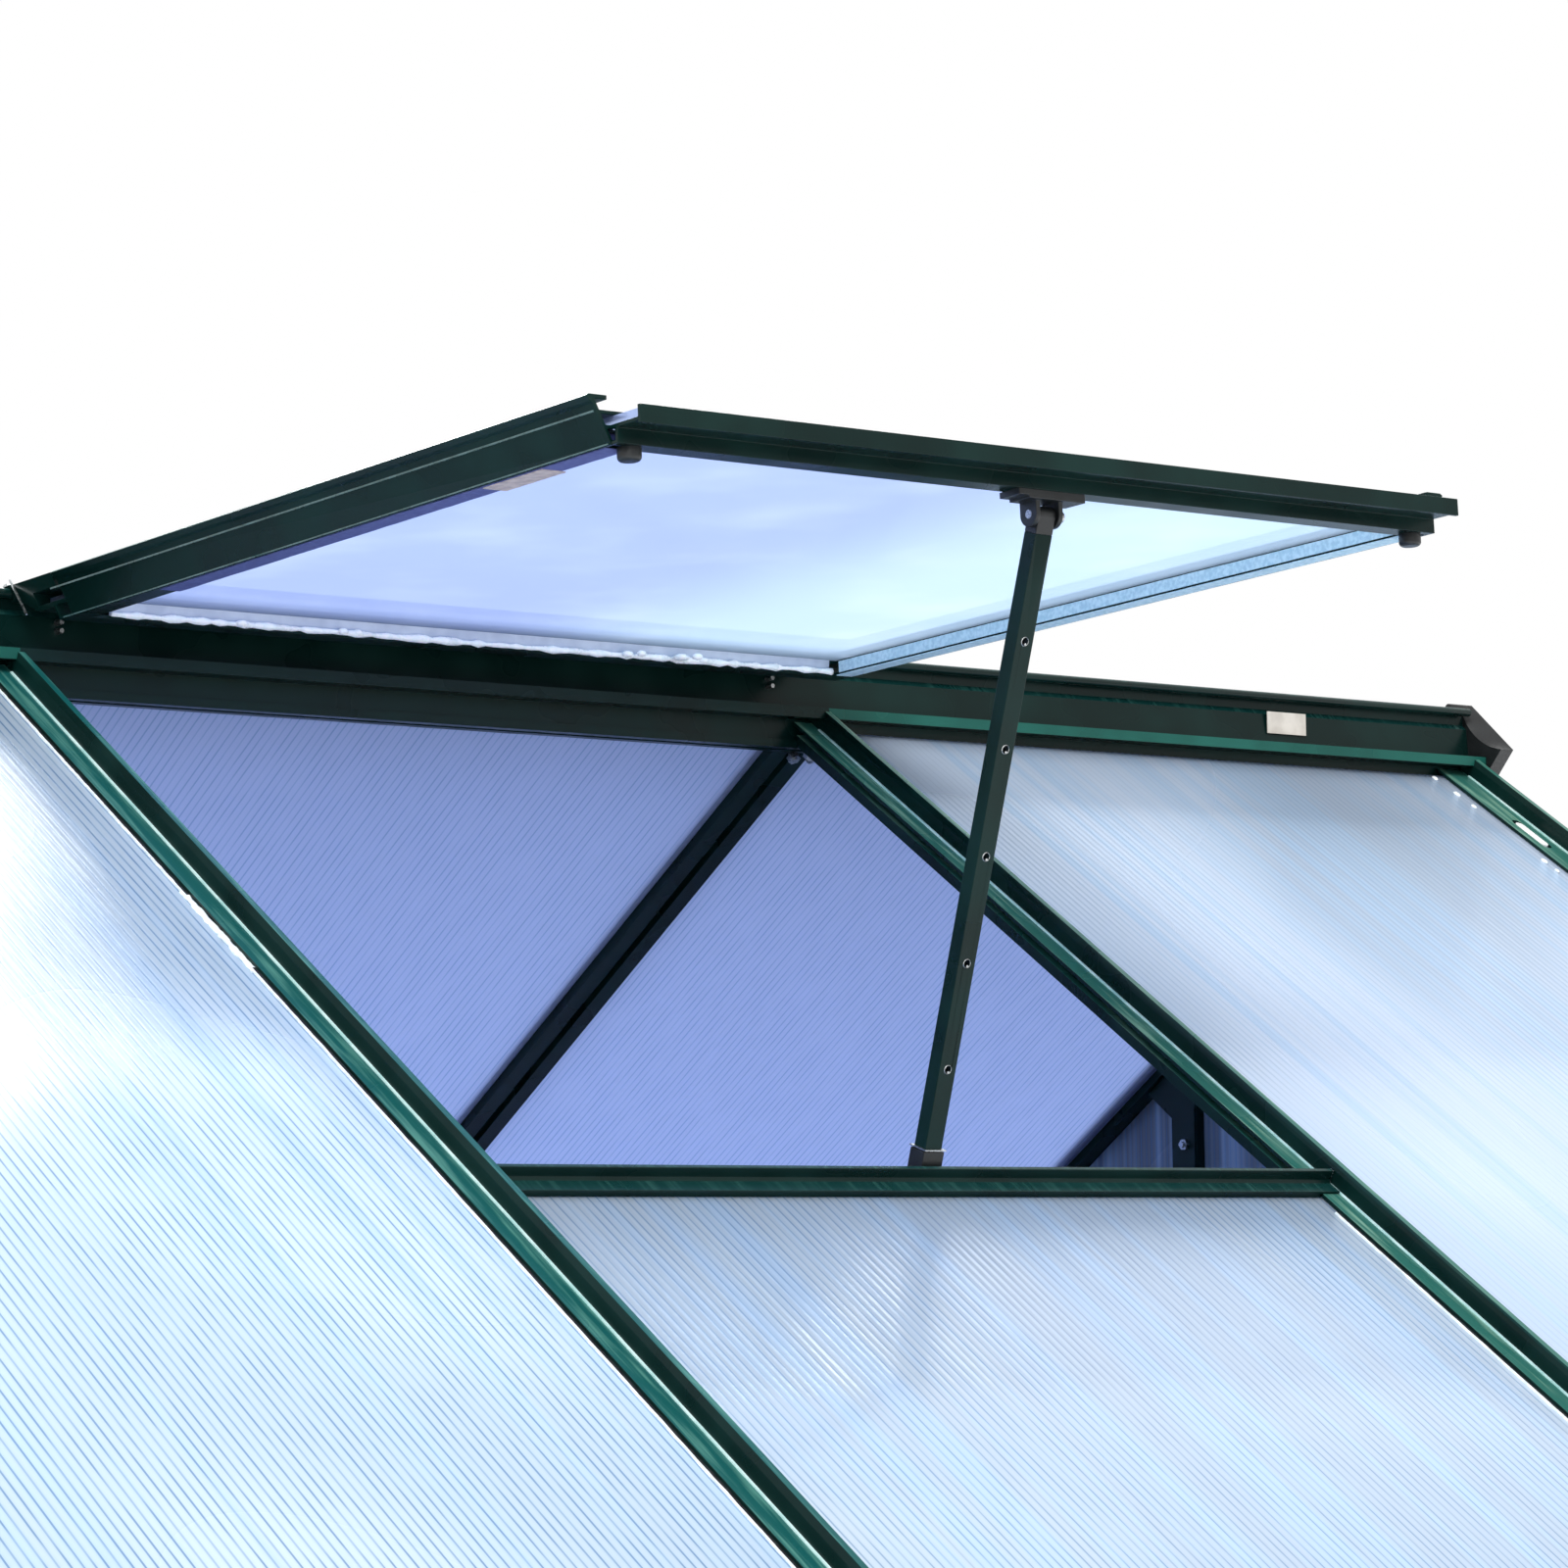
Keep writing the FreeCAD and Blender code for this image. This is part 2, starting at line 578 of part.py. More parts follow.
def side_rail(side):
    """One side of the vent's frame: a leaning wall, the inner lip and the pane's grips."""
    slope = RAIL_FLARE / RAIL_HEIGHT
    nose = RAIL_HEIGHT - RAIL_NOSE

    def inside(v):
        return RAIL_WALL - slope * v

    top_low = RAIL_HEIGHT - RAIL_WALL
    grip_top = GRIP_HIGH + GRIP_THICKNESS
    grip_foot = GRIP_LOW - GRIP_THICKNESS
    outline = [
        (0.0, 0.0),
        (STRIP_WIDTH, 0.0),
        (STRIP_WIDTH, STRIP_THICKNESS),
        (inside(STRIP_THICKNESS), STRIP_THICKNESS),
        (inside(grip_foot), grip_foot),
        (PANE_GRIP, grip_foot),
        (PANE_GRIP, GRIP_LOW),
        (inside(GRIP_LOW), GRIP_LOW),
        (inside(GRIP_HIGH), GRIP_HIGH),
        (PANE_GRIP, GRIP_HIGH),
        (PANE_GRIP, grip_top),
        (inside(grip_top), grip_top),
        (inside(top_low), top_low),
        (inside(top_low) + RAIL_RETURN, top_low),
        (inside(top_low) + RAIL_RETURN, RAIL_HEIGHT),
        (-slope * RAIL_HEIGHT, RAIL_HEIGHT),
        (-slope * RAIL_HEIGHT - RAIL_NOSE_OUT, RAIL_HEIGHT - RAIL_NOSE / 4),
        (-slope * nose - RAIL_NOSE_OUT, nose + RAIL_NOSE / 4),
        (-slope * nose, nose),
    ]
    section = [(side * (VENT_HALF - w), level(v)) for w, v in outline]
    rail = prism_y(section, -VENT_LENGTH + RAIL_FREE_GAP, -HINGE_STEP_OUT - STRIP_WIDTH)
    free = VENT_LENGTH - STRIP_WIDTH
    corner = block(-VENT_HALF + RAIL_WALL, VENT_HALF - RAIL_WALL, -VENT_LENGTH, -free,
                   level(0.0), level(GRIP_LOW))
    return on_vent(rail.cut(corner))


def free_rail():
    """The free edge: an upright web, the inner lip, and a drip fascia standing off it."""
    face = VENT_LENGTH
    drip = face + DRIP_REACH
    inner = face - STRIP_WIDTH
    seat = GRIP_LOW - GRIP_THICKNESS
    low = seat - DRIP_BELOW
    outline = [
        (inner, 0.0),
        (face, 0.0),
        (face, seat),
        (drip - RAIL_WALL, seat),
        (drip - RAIL_WALL, low),
        (drip, low),
        (drip, low + DRIP_HEIGHT),
        (drip - RAIL_WALL, low + DRIP_HEIGHT),
        (drip - RAIL_WALL, GRIP_LOW),
        (inner, GRIP_LOW),
        (inner, seat),
        (face - RAIL_WALL, seat),
        (face - RAIL_WALL, STRIP_THICKNESS),
        (inner, STRIP_THICKNESS),
    ]
    outline = [(out, level(v)) for out, v in outline]
    rail = prism_vent_x(outline, -VENT_HALF, VENT_HALF)
    for side in (-1, 1):
        x0, x1 = sorted((side * (VENT_HALF - PANE_GRIP), side * VENT_HALF))
        rail = rail.cut(block(x0, x1, -face + RAIL_FREE_GAP, -inner, level(0.0), level(GRIP_LOW)))
    return on_vent(rail)


def vent_pane():
    half = VENT_HALF - RAIL_WALL - PANE_CLEARANCE
    start = HINGE_WALL_OUT + RAIL_WALL + PANE_CLEARANCE
    end = VENT_LENGTH + DRIP_REACH - RAIL_WALL - PANE_CLEARANCE
    low = level(PANE_HEIGHT)
    return on_vent(block(-half, half, -end, -start, low, low + PANE_THICKNESS))


def corner_plug(side):
    """The moulded plug in a free corner, and the round bumper under it."""
    inner = VENT_LENGTH - RAIL_WALL
    x1 = VENT_HALF - PANE_GRIP
    x0 = x1 - PLUG_LENGTH
    low = level(STRIP_THICKNESS)
    high = level(GRIP_LOW - GRIP_THICKNESS)
    body = block(x0, x1, -inner, -inner + PLUG_DEPTH, low, high)
    foot = Vector(VENT_HALF - BUMPER_IN, -VENT_LENGTH + BUMPER_BACK, level(-BUMPER_DROP))
    bumper = Part.makeCylinder(BUMPER_RADIUS, BUMPER_DROP, foot)
    rim = [e for e in bumper.Edges if e.BoundBox.ZMax < foot.z + PANE_CLEARANCE]
    bumper = bumper.makeFillet(BUMPER_ROUND, rim)
    pair = Part.makeCompound([body, bumper])
    if side < 0:
        pair = pair.mirror(Vector(0, 0, 0), Vector(1, 0, 0))
    return Part.makeCompound([on_vent(solid.copy()) for solid in pair.Solids])


# ---- stay ----------------------------------------------------------------------------
def vent_point(out, v):
    """World position of a point of the open vent, in the middle of its width."""
    tilt = math.radians(VENT_TILT)
    y = -out * math.cos(tilt) + v * math.sin(tilt)
    z = out * math.sin(tilt) + v * math.cos(tilt)
    return HINGE + Vector(0, y, z)


def near_slope_point(s, n):
    """World position of a point of the near slope, in the middle of the vent's bay."""
    return Vector(0, -s * COS - n * SIN, APEX - s * SIN + n * COS)


STAY_PIVOT_OUT = VENT_LENGTH - STAY_PIVOT_IN
STAY_PIVOT = vent_point(STAY_PIVOT_OUT, level(-STAY_PIVOT_DROP))
FOOT_CENTRE = SILL_INNER - STAY_SILL_GAP - STAY_DEPTH / 2 - STAY_FOOT_WALL
STAY_END = near_slope_point(FOOT_CENTRE, -STAY_FOOT_SINK)
STAY_LENGTH = (STAY_END - STAY_PIVOT).Length
STAY_LEAN = math.degrees(math.atan2(STAY_END.y - STAY_PIVOT.y, STAY_PIVOT.z - STAY_END.z))


def on_stay(shape):
    """Place a shape drawn on an upright stay, with its pivot at the origin."""
    shape.Placement = Placement(STAY_PIVOT, Rotation(Vector(1, 0, 0), STAY_LEAN))
    return shape


def stay_arm():
    """The rectangular tube with its row of peg holes."""
    wide = STAY_WIDTH / 2
    deep = STAY_DEPTH / 2
    arm = block(-wide, wide, -deep, deep, -STAY_LENGTH, -STAY_TUBE_START)
    core = block(-wide + STAY_WALL, wide - STAY_WALL, -deep + STAY_WALL, deep - STAY_WALL,
                 -STAY_LENGTH, -STAY_TUBE_START)
    arm = arm.cut(core)
    for i in range(STAY_HOLES):
        z = -STAY_HOLE_FIRST - i * STAY_HOLE_PITCH
        start = Vector(0, -deep, z)
        arm = arm.cut(Part.makeCylinder(STAY_HOLE_RADIUS, STAY_DEPTH, start, Vector(0, 1, 0)))
    return on_stay(arm)


def stay_head():
    """The moulded end that turns on the pin, plugged into the tube."""
    wide = STAY_WIDTH / 2
    deep = STAY_DEPTH / 2
    along = Vector(1, 0, 0)
    head = block(-wide, wide, -deep, deep, -STAY_TUBE_START, 0)
    start = Vector(-wide, 0, 0)
    head = head.fuse(Part.makeCylinder(STAY_HEAD_ROUND, STAY_WIDTH, start, along))
    plug = block(-wide + STAY_WALL, wide - STAY_WALL, -deep + STAY_WALL, deep - STAY_WALL,
                 -STAY_TUBE_START - STAY_PLUG, -STAY_TUBE_START)
    bore = Part.makeCylinder(PIN_RADIUS + PIN_CLEARANCE, STAY_WIDTH, start, along)
    return on_stay(head.fuse(plug).cut(bore).removeSplitter())


def stay_foot():
    """The moulded cap on the stay's lower end."""
    wide = STAY_WIDTH / 2 + STAY_FOOT_WALL
    deep = STAY_DEPTH / 2 + STAY_FOOT_WALL
    low = -STAY_LENGTH - STAY_FOOT_WALL
    cap = block(-wide, wide, -deep, deep, low, low + STAY_FOOT_LENGTH)
    socket = block(-STAY_WIDTH / 2, STAY_WIDTH / 2, -STAY_DEPTH / 2, STAY_DEPTH / 2,
                   -STAY_LENGTH, low + STAY_FOOT_LENGTH)
    return on_stay(cap.cut(socket))


def stay_bracket():
    """The moulded base under the free edge and its two ears."""
    top = level(0.0)
    low = top - BRACKET_PLATE
    a0 = -VENT_LENGTH
    a1 = a0 + BRACKET_WIDTH
    thin = low + BRACKET_NOTCH_DEPTH
    bracket = block(BRACKET_NOTCH - BRACKET_HALF, BRACKET_HALF, a0, a1, low, top)
    bracket = bracket.fuse(block(-BRACKET_HALF, BRACKET_HALF, a0, a1, thin, top))
    pivot_v = level(-STAY_PIVOT_DROP)
    inner = STAY_WIDTH / 2 + EAR_GAP
    along = Vector(1, 0, 0)
    for side in (-1, 1):
        x0 = min(side * inner, side * (inner + EAR_THICKNESS))
        ear = block(x0, x0 + EAR_THICKNESS, -STAY_PIVOT_OUT - EAR_HALF,
                    -STAY_PIVOT_OUT + EAR_HALF, pivot_v, low)
        start = Vector(x0, -STAY_PIVOT_OUT, pivot_v)
        ear = ear.fuse(Part.makeCylinder(EAR_HALF, EAR_THICKNESS, start, along))
        ear = ear.cut(Part.makeCylinder(PIN_RADIUS, EAR_THICKNESS, start, along))
        bracket = bracket.fuse(ear)
    return on_vent(bracket.removeSplitter())


def stay_pin():
    """The pin through the ears, with its head standing out on the right."""
    half = STAY_WIDTH / 2 + EAR_GAP + EAR_THICKNESS
    along = Vector(1, 0, 0)
    start = STAY_PIVOT - Vector(half, 0, 0)
    pin = Part.makeCylinder(PIN_RADIUS, 2 * half, start, along)
    head = STAY_PIVOT + Vector(half, 0, 0)
    return pin.fuse(Part.makeCylinder(PIN_HEAD_RADIUS, PIN_STUB, head, along))


def main():
    save("ridge_beam", ridge_beam())
    save("ridge_cap_left", ridge_cap(-1))
    save("ridge_cap_right", ridge_cap(1))
    for i, x in enumerate(RAFTER_X):
        far_rafter = rafter(x)
        save("far_rafter_%d" % (i + 1), far_rafter)
        save("near_rafter_%d" % (i + 1), near(far_rafter))
    panel_start = (RIDGE_FOOT_HALF - PANEL_UNDERSIDE * SIN) / COS + PANEL_EDGE_GAP
    for bay in range(BAYS):
        far_panel = bay_panel(bay, panel_start)
        save("far_panel_%d" % (bay + 1), far_panel)
        if bay == BAYS // 2:
            save("panel_under_vent", near(bay_panel(bay, SILL_INNER + SILL_CHANNEL)))
        else:
            save("near_panel_%d" % (bay + 1), near(far_panel))
    far_eave = eave_rail()
    save("far_eave_rail", far_eave)
    save("near_eave_rail", near(far_eave))
    save("vent_sill", near(vent_sill()))
    for side, word in ((-1, "left"), (1, "right")):
        save("gable_tie_" + word, gable_tie(side))
        save("gable_panel_" + word, gable_panel(side))
        save("far_stud_" + word, gable_stud(side))
        save("near_stud_" + word, near(gable_stud(side)))
        save("far_gusset_" + word, gusset(side))
        save("near_gusset_" + word, near(gusset(side)))
        save("vent_side_rail_" + word, side_rail(side))
        save("vent_corner_" + word, corner_plug(side))
    save("vent_hinge_rail", hinge_rail())
    save("vent_free_rail", free_rail())
    save("vent_pane", vent_pane())
    save("stay_bracket", stay_bracket())
    save("stay_pin", stay_pin())
    save("stay_arm", stay_arm())
    save("stay_head", stay_head())
    save("stay_foot", stay_foot())
    print("apex %.2f  hinge y %.3f z %.3f" % (APEX, HINGE.y, HINGE.z))
    print("stay pivot %.3f %.3f %.3f" % (STAY_PIVOT.x, STAY_PIVOT.y, STAY_PIVOT.z))
    print("stay length %.2f lean %.3f" % (STAY_LENGTH, STAY_LEAN))


main()
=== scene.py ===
"""Looks of a small greenhouse's roof: ribbed sheets, green coated bars, the open vent and its stay."""

import math
import random

import bmesh
import bpy
from bpy.props import FloatProperty, FloatVectorProperty, IntProperty, PointerProperty, StringProperty
from mathutils import Matrix, Vector


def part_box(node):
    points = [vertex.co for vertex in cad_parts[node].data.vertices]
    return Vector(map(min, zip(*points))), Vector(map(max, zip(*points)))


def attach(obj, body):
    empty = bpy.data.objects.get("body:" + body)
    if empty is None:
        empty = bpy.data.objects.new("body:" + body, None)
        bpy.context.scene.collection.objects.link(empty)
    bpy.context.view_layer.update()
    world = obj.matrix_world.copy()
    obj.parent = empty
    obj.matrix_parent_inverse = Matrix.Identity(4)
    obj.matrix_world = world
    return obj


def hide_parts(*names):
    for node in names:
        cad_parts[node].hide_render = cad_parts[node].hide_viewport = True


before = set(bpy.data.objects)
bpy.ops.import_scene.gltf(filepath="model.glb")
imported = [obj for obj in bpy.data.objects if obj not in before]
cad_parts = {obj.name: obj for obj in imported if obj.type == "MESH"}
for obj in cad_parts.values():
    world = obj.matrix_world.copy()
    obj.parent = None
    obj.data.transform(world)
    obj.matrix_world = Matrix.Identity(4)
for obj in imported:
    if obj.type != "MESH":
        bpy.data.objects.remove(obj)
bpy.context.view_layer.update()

bl_info = {
    "name": "Walk-in Greenhouse",
    "version": (1, 0, 0),
    "blender": (4, 2, 0),
    "location": "3D Viewport > Sidebar > Greenhouse",
    "description": "Dresses the greenhouse frame with ribbed sheets, seals, fixings and finishes",
    "category": "Object",
}

MM = 0.001

# The roof: its two slopes meet at the apex line and fall at this pitch.
PITCH = math.radians(33.6)
APEX = 0.67495
BAY = 0.620
RAFTER_LINES = (-1.5 * BAY, -0.5 * BAY, 0.5 * BAY, 1.5 * BAY)
RAFTER_LOW_END = 1.112

# Heights measured square to a slope from the line along the rafters' crests.
FLANGE_TOP = -13.0 * MM
SHEET_TOP = -15.8 * MM
SHEET_UNDER = -19.6 * MM
FIN_HALF = 3.5 * MM
FLANGE_HALF = 18.5 * MM

HINGE = Vector((0, -0.009, 0.694946))
VENT_TILT = math.radians(3.1)
STAY_PIVOT = Vector((0, -0.597978, 0.692794))
STAY_LEAN = math.radians(17.256)

# The vent's side rails, in the vent's own frame: their foot, height and outward lean.
VENT_UNDER = -22.0
RAIL_FOOT = 0.2976
RAIL_HEIGHT = 26.0
RAIL_FLARE = 13.0
LIP_INNER = 0.2826

# Seals beside each rafter, in mm: gap from the flange, width, height above the sheet.
BLACK_SEAL = (0.2, 1.8, 1.2)
WHITE_SEAL = (2.0, 1.2, 1.0)
SHEET_START = 0.034

# Bolts of a gusset: their places across the gable, and the gusset's two faces.
GUSSET_BOLTS = ((0.2871, 0.3824), (0.2880, 0.4300))
GUSSET_INNER = 0.9175
GUSSET_OUTER = 0.9400

# The ridge's lip, in mm: how far out its face stands, and its foot and top below the apex; a thin sheet
# of painted light covers that face.
LIP_OUT = 26.0
LIP_FOOT = -21.9
LIP_TOP = -15.0

# Lumps along the hinge sealant: place along the ridge, distance out and size in mm.
SEALANT_LUMPS = (
    (-0.181, 58, 3.4),
    (-0.108, 59, 2.8),
    (-0.096, 57, 3.0),
    (0.110, 60, 3.2),
    (0.118, 64, 2.6),
    (0.152, 62, 4.6),
    (0.160, 68, 3.0),
    (0.172, 58, 3.8),
    (0.141, 56, 3.4),
)
# Dabs of silicone on the last near sheet: place along, distance down the slope and size in mm.
SILICONE_DABS = ((890, 36, 2.2), (892, 60, 2.6), (893, 79, 2.0), (894, 161, 2.4), (894, 175, 1.6))
HOLE_PITCH = 61
FIRST_HOLE = 70
HOLES = 5

CAMERA_SPOT = (-1.9154, -2.7705, 0.26195)
CAMERA_RIGHT = Vector((0.78290642, -0.62196037, -0.01492747))
CAMERA_UP = Vector((-0.04923614, -0.08585992, 0.99508988))
CAMERA_AHEAD = Vector((0.62018814, 0.77832729, 0.09784321))


def directed(origin, along, up_slope, outward):
    """The matrix of a surface: X along the building, Y up the slope, Z out of the surface."""
    return Matrix.Translation(origin) @ Matrix((along, up_slope, outward)).transposed().to_4x4()


NEAR = directed(
    (0, 0, APEX),
    (1, 0, 0),
    (0, math.cos(PITCH), math.sin(PITCH)),
    (0, -math.sin(PITCH), math.cos(PITCH)),
)
FAR = Matrix.Rotation(math.pi, 4, "Z") @ NEAR
VENT = directed(
    HINGE,
    (1, 0, 0),
    (0, math.cos(VENT_TILT), -math.sin(VENT_TILT)),
    (0, math.sin(VENT_TILT), math.cos(VENT_TILT)),
)
STAY = Matrix.Translation(STAY_PIVOT) @ Matrix.Rotation(STAY_LEAN, 4, "X")
LEVEL = Matrix.Identity(4)


# ---------------------------------------------------------------- materials


def tone(hex_colour):
    """An sRGB hex colour as linear red, green, blue and full alpha."""
    shares = [int(hex_colour[i : i + 2], 16) / 255 for i in (1, 3, 5)]
    linear = [s / 12.92 if s <= 0.04045 else ((s + 0.055) / 1.055) ** 2.4 for s in shares]
    return (*linear, 1.0)


def add(tree, kind, settings=None, links=None, **attributes):
    """Adds one node, with its attributes, its sockets' values and what feeds them."""
    made = tree.nodes.new(kind)
    for key, value in attributes.items():
        setattr(made, key, value)
    for key, value in (settings or {}).items():
        made.inputs[key].default_value = value
    for key, source in (links or {}).items():
        tree.links.new(source, made.inputs[key])
    return made


def blank(name):
    """An empty node material, with its output node."""
    material = bpy.data.materials.new(name)
    material.use_nodes = True
    material.node_tree.nodes.clear()
    return material, material.node_tree, material.node_tree.nodes.new("ShaderNodeOutputMaterial")


def grained(tree, size, detail=2.0, stretch=(1, 1, 1), turn=(0, 0, 0), rough=0.5):
    """Noise whose grains are about `size` metres across, on the piece's own coordinates."""
    place = add(tree, "ShaderNodeTexCoord").outputs["Object"]
    if any(turn):
        place = add(tree, "ShaderNodeMapping", {"Rotation": turn}, {"Vector": place}).outputs["Vector"]
    grains = {"Scale": tuple(1 / (size * s) for s in stretch)}
    scaled = add(tree, "ShaderNodeMapping", grains, {"Vector": place}).outputs["Vector"]
    noise = {"Scale": 1.0, "Detail": detail, "Roughness": rough}
    return add(tree, "ShaderNodeTexNoise", noise, {"Vector": scaled}).outputs["Fac"]


def between(tree, source, low, high, start=0.0, end=1.0):
    """Stretches a value from low…high to start…end and holds it at both ends."""
    return add(
        tree,
        "ShaderNodeMapRange",
        {"From Min": low, "From Max": high, "To Min": start, "To Max": end},
        {"Value": source},
        interpolation_type="SMOOTHSTEP",
    ).outputs["Result"]


def blended(tree, share, first, second):
    """A colour between two others. Each is a hex colour or a socket."""
    mix = add(tree, "ShaderNodeMix", {}, {"Factor": share}, data_type="RGBA")
    for socket, colour in ((6, first), (7, second)):
        if isinstance(colour, str):
            mix.inputs[socket].default_value = tone(colour)
        else:
            tree.links.new(colour, mix.inputs[socket])
    return mix.outputs[2]


def product(tree, first, second):
    """The product of two values, each a number or a socket."""
    node = add(tree, "ShaderNodeMath", operation="MULTIPLY")
    for i, value in enumerate((first, second)):
        if isinstance(value, (int, float)):
            node.inputs[i].default_value = value
        else:
            tree.links.new(value, node.inputs[i])
    return node.outputs[0]


def raised(tree, height, distance, strength=1.0):
    """A bump of that depth in metres."""
    return add(
        tree, "ShaderNodeBump", {"Strength": strength, "Distance": distance}, {"Height": height}
    ).outputs["Normal"]


def powder_coat(name, shade, light, top_light_colour, dust_and_sheen_colour):
    """Polyester powder coat on drawn aluminium bar: a near-black satin green with a fine orange peel.
    Faces that look up turn a lighter teal, painted light from above, with pale streaks of the given
    dust-and-sheen colour on them."""
    material, tree, output = blank(name)
    peel = grained(tree, 1.6 * MM, 0.0)
    patches = grained(tree, 60 * MM, 2.0)
    streaks = grained(tree, 9 * MM, 2.0, (0.5, 9, 9), (-PITCH, 0, 0), 0.65)
    outward = add(tree, "ShaderNodeNewGeometry").outputs["Normal"]
    upward = add(tree, "ShaderNodeSeparateXYZ", {}, {"Vector": outward}).outputs["Z"]
    # How far each face looks up: this sets the painted top light and where dust and sheen lie.
    top_light_and_dust = between(tree, upward, 0.35, 0.85)
    dust = product(tree, top_light_and_dust, between(tree, streaks, 0.45, 0.75, 0.0, 0.6))
    colour = blended(tree, between(tree, patches, 0.3, 0.7), shade, light)
    # Painted light: faces that look up are lighter, as if lit from above.
    painted_top_light = blended(tree, top_light_and_dust, colour, top_light_colour)
    surface = add(
        tree,
        "ShaderNodeBsdfPrincipled",
        {"IOR": 1.5, "Specular IOR Level": 0.16},
        {
            "Base Color": blended(tree, dust, painted_top_light, dust_and_sheen_colour),
            "Roughness": between(tree, patches, 0.3, 0.7, 0.24, 0.38),
            "Normal": raised(tree, peel, 0.04 * MM, 0.5),
        },
    )
    tree.links.new(surface.outputs["BSDF"], output.inputs["Surface"])
    return material


def twin_wall(name, look, turn, rib_strength, pale, deep, through, see_through, let_through, along="X"):
    """Extruded twin-wall polycarbonate sheet: two thin clear skins held apart by webs. The webs show as
    fine dark lines, the skins haze the sky to a pale blue, and long faint streaks of painted reflection
    follow the webs."""
    material, tree, output = blank(name)
    place = add(tree, "ShaderNodeTexCoord")
    across = add(tree, "ShaderNodeSeparateXYZ", {}, {"Vector": place.outputs["Object"]}).outputs[along]
    cell = product(tree, across, 1 / look.web_pitch)
    fold = add(tree, "ShaderNodeMath", {1: 0.5}, {0: cell}, operation="PINGPONG").outputs[0]
    half_web = look.web_width / look.web_pitch / 2
    web = between(tree, fold, half_web * 0.7, half_web * 1.5, 1.0, 0.0)
    wide = between(tree, fold, 0.05, 0.45, 0.0, 1.0)
    stretch = (0.018, 1.4, 1.4) if along == "X" else (1.4, 0.018, 1.4)
    # Painted reflection: long pale streaks along the webs, where the wavy skins catch the sky.
    streak = grained(tree, 1.0, 2.0, stretch, turn, 0.7)
    cloud = grained(tree, 260 * MM, 0.0)
    fine = grained(tree, 3 * MM, 0.0, (1, 14, 14) if along == "X" else (14, 1, 14), turn)
    ground = blended(tree, between(tree, cloud, 0.3, 0.7), pale, deep)
    streaky = product(tree, between(tree, streak, 0.42, 0.68), 0.85)
    streaked = blended(tree, streaky, ground, look.reflection_streak_hex)
    cells = blended(tree, product(tree, wide, 0.12 * rib_strength), streaked, "#ffffff")
    uneven = product(tree, web, between(tree, fine, 0.35, 0.6, 0.55, 1.0))
    colour = blended(tree, product(tree, uneven, rib_strength), cells, look.web_hex)
    skin = add(
        tree,
        "ShaderNodeBsdfPrincipled",
        {"IOR": 1.58},
        {
            "Base Color": colour,
            "Roughness": between(tree, cloud, 0.3, 0.7, 0.18, 0.3),
        },
    )
    glow = add(
        tree,
        "ShaderNodeBsdfTranslucent",
        {},
        {"Color": blended(tree, product(tree, uneven, rib_strength), through, look.web_hex)},
    )
    hazed = add(
        tree,
        "ShaderNodeMixShader",
        {"Fac": let_through},
        {1: skin.outputs["BSDF"], 2: glow.outputs["BSDF"]},
    )
    sheet = hazed
    if see_through:
        clear = add(tree, "ShaderNodeBsdfTransparent", {"Color": tone("#dfeaf8")})
        sheet = add(
            tree,
            "ShaderNodeMixShader",
            {"Fac": see_through},
            {1: hazed.outputs["Shader"], 2: clear.outputs["BSDF"]},
        )
    tree.links.new(sheet.outputs["Shader"], output.inputs["Surface"])
    return material


def clear_pane():
    """Cast acrylic pane: clear and glossy, with painted light from lavender at its left end to pale cyan
    at its right, painted shade towards the hinge, and a dull film of dried rain."""
    material, tree, output = blank("clear_acrylic_pane")
    place = add(tree, "ShaderNodeTexCoord")
    axes = add(tree, "ShaderNodeSeparateXYZ", {}, {"Vector": place.outputs["Object"]})
    length = between(tree, axes.outputs["X"], -0.29, 0.29)
    depth = between(tree, axes.outputs["Y"], -0.10, -0.03)
    film = grained(tree, 90 * MM, 2.0)
    # Painted light: lavender at the pane's left end, pale cyan at its right.
    light_along_length = blended(tree, between(tree, length, 0.45, 0.9), "#b1bee2", "#cbdcec")
    # Painted shade: darker towards the hinge, along the ridge.
    shaded = blended(tree, product(tree, depth, 0.75), light_along_length, "#98abc6")
    colour = blended(tree, between(tree, film, 0.45, 0.8, 0.0, 0.25), shaded, "#eef5ff")
    gloss = add(
        tree,
        "ShaderNodeBsdfPrincipled",
        {"IOR": 1.49},
        {
            "Base Color": colour,
            "Roughness": between(tree, film, 0.3, 0.7, 0.04, 0.12),
        },
    )
    glow = add(tree, "ShaderNodeBsdfTranslucent", {}, {"Color": colour})
    lit = {1: gloss.outputs["BSDF"], 2: glow.outputs["BSDF"]}
    hazed = add(tree, "ShaderNodeMixShader", {"Fac": 0.8}, lit)
    clear = add(tree, "ShaderNodeBsdfTransparent", {"Color": tone("#e9f2ff")})
    seen = {1: hazed.outputs["Shader"], 2: clear.outputs["BSDF"]}
    pane = add(tree, "ShaderNodeMixShader", {"Fac": 0.36}, seen)
    tree.links.new(pane.outputs["Shader"], output.inputs["Surface"])
    return material


def moulded(name, shade, light, rough, pore):
    """Moulded plastic: an even body colour with a fine spark-eroded grain and slight flow marks."""
    material, tree, output = blank(name)
    grain = grained(tree, pore, 3.0)
    flow = grained(tree, 14 * MM, 4.0)
    surface = add(
        tree,
        "ShaderNodeBsdfPrincipled",
        {"IOR": 1.49},
        {
            "Base Color": blended(tree, between(tree, flow, 0.3, 0.7), shade, light),
            "Roughness": between(tree, grain, 0.3, 0.7, rough - 0.07, rough + 0.08),
            "Normal": raised(tree, grain, 0.08 * MM, 0.6),
        },
    )
    tree.links.new(surface.outputs["BSDF"], output.inputs["Surface"])
    return material


